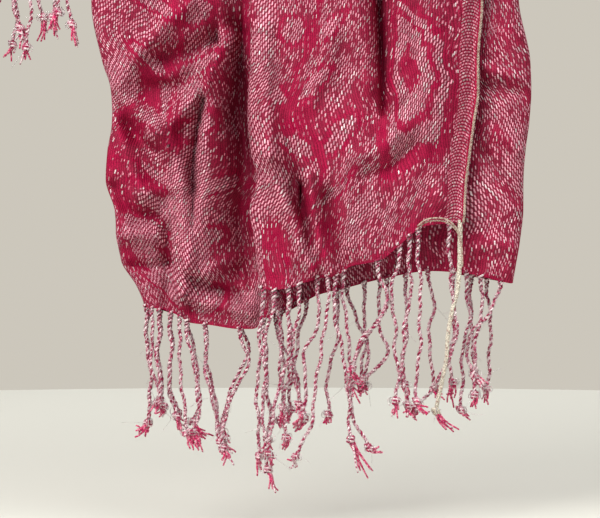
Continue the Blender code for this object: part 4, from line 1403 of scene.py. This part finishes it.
yarn_finishes = [
    yarn_finish("yarn_magenta", (0.32, 0.012, 0.065, 1.0), (0.64, 0.36, 0.42, 1.0), 0.52, 0.75, 0.0),
    yarn_finish("yarn_pale", (0.84, 0.68, 0.70, 1.0), (0.44, 0.08, 0.16, 1.0), 0.55, 0.60, 0.15),
    yarn_finish("yarn_silver", SILVER_AND_GLINT_TONE, (0.70, 0.45, 0.50, 1.0), 0.60, 0.28, 0.85),
    yarn_finish("yarn_frayed", (0.58, 0.020, 0.12, 1.0), (0.78, 0.26, 0.36, 1.0), 0.52, 0.8, 0.0),
    yarn_finish("yarn_cream", CREAM_TONE, (0.50, 0.36, 0.30, 1.0), 0.60, 0.8, 0.0),
]
long_fringe = long_yarns.build("long_fringe", yarn_finishes)
short_fringe = short_yarns.build("short_fringe", yarn_finishes)


# %% [markdown]
# The selvedge is bound with a cream cord along the front panel's edge, and a pair of
# loose threads hangs in an arch along the hem. A curve with a bevel would give a plain
# round tube, so the cord is wound from three plies, on a path read from the cloth
# itself. The loose threads are so thin that plain tubes do for them.

# %% Pale selvedge
SELVEDGE_RADIUS = 0.42
selvedge_finish = yarn_finish("selvedge_cream", (0.50, 0.40, 0.32, 1.0),
                              (0.34, 0.17, 0.15, 1.0), 0.58, 0.85, 0.0)


def add_selvedge(name, first, last):
    """The cream cord along the edge of the front panel."""
    yarns = Yarns()
    rough = cloth[first:last + 1, 0] / MM
    length = np.linalg.norm(np.diff(rough, axis=0), axis=1).sum()
    path = even_curve(rough, int(length / 0.8))
    for ply in range(3):
        yarns.add(wound(path, SELVEDGE_RADIUS, 4.2, ply * 2.1), SELVEDGE_RADIUS, 5, 0)
    return yarns.build(name, [selvedge_finish])


# Columns, in millimetres: place across, height
LOOSE_THREAD = ((53, 52), (57, 55), (62, 56), (68, 55), (73, 50), (75, 42), (75.5, 33))


def add_loose_thread():
    """Two thin threads that hang in an arch along the hem to the pale cord."""
    yarns = Yarns()
    for lower, forward in ((0.0, 14.5), (1.3, 13.5)):
        route = np.array([(TAIL_MIDDLE + across, TAIL_DEPTH - forward,
                           CHEST_LEVEL - LONG_DROP + height - lower)
                          for across, height in LOOSE_THREAD], float)
        yarns.add(even_curve(route, 60), SELVEDGE_RADIUS, 5, 0)
    return yarns.build("loose_thread", [selvedge_finish])


loose_thread = add_loose_thread()
selvedges = [add_selvedge("long_selvedge", 0, neck_start),
             add_selvedge("neck_selvedge", neck_start, short_start),
             add_selvedge("short_selvedge", short_start, len(cloth) - 1)]

# %% [markdown]
# ## Floor
#
# A plain pale disc catches the scarf's soft shadow. The scarf hangs a little above it.
# The disc ends some way behind the scarf, so that the backdrop shows above its edge. A
# curved studio sweep would hide that edge, but here it stays as a calm line.

# %% Floor
FLOOR_RADIUS = 1.04
FLOOR_TONE = (0.65, 0.647, 0.589, 1.0)
bpy.ops.mesh.primitive_circle_add(vertices=128, radius=FLOOR_RADIUS, fill_type="NGON",
                                  location=(VIEW_MIDDLE.x, VIEW_MIDDLE.y, FLOOR_LEVEL))
floor = bpy.context.object
floor.name = "floor"
floor_finish, _, floor_shader = new_finish("pale_floor", 0.85, 0.0)
floor_shader.inputs["Base Color"].default_value = FLOOR_TONE
floor.data.materials.append(floor_finish)
print("floor at", FLOOR_LEVEL)

# %% [markdown]
#
# Everything rides on the one body, and the model's part that each cloth or fringe piece
# stands for is hidden.

# %% Ride the body and hide the replaced parts
for piece, node, slot in ((long_cloth, "long_end", "cloth"),
                          (neck_cloth, "neck_stretch", "cloth"),
                          (short_cloth, "short_end", "cloth"),
                          (long_fringe, "fringe_long_end", "fringe"),
                          (short_fringe, "fringe_short_end", "fringe")):
    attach(piece, "root")
    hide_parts(node)
for piece in (*selvedges, loose_thread):
    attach(piece, "root")
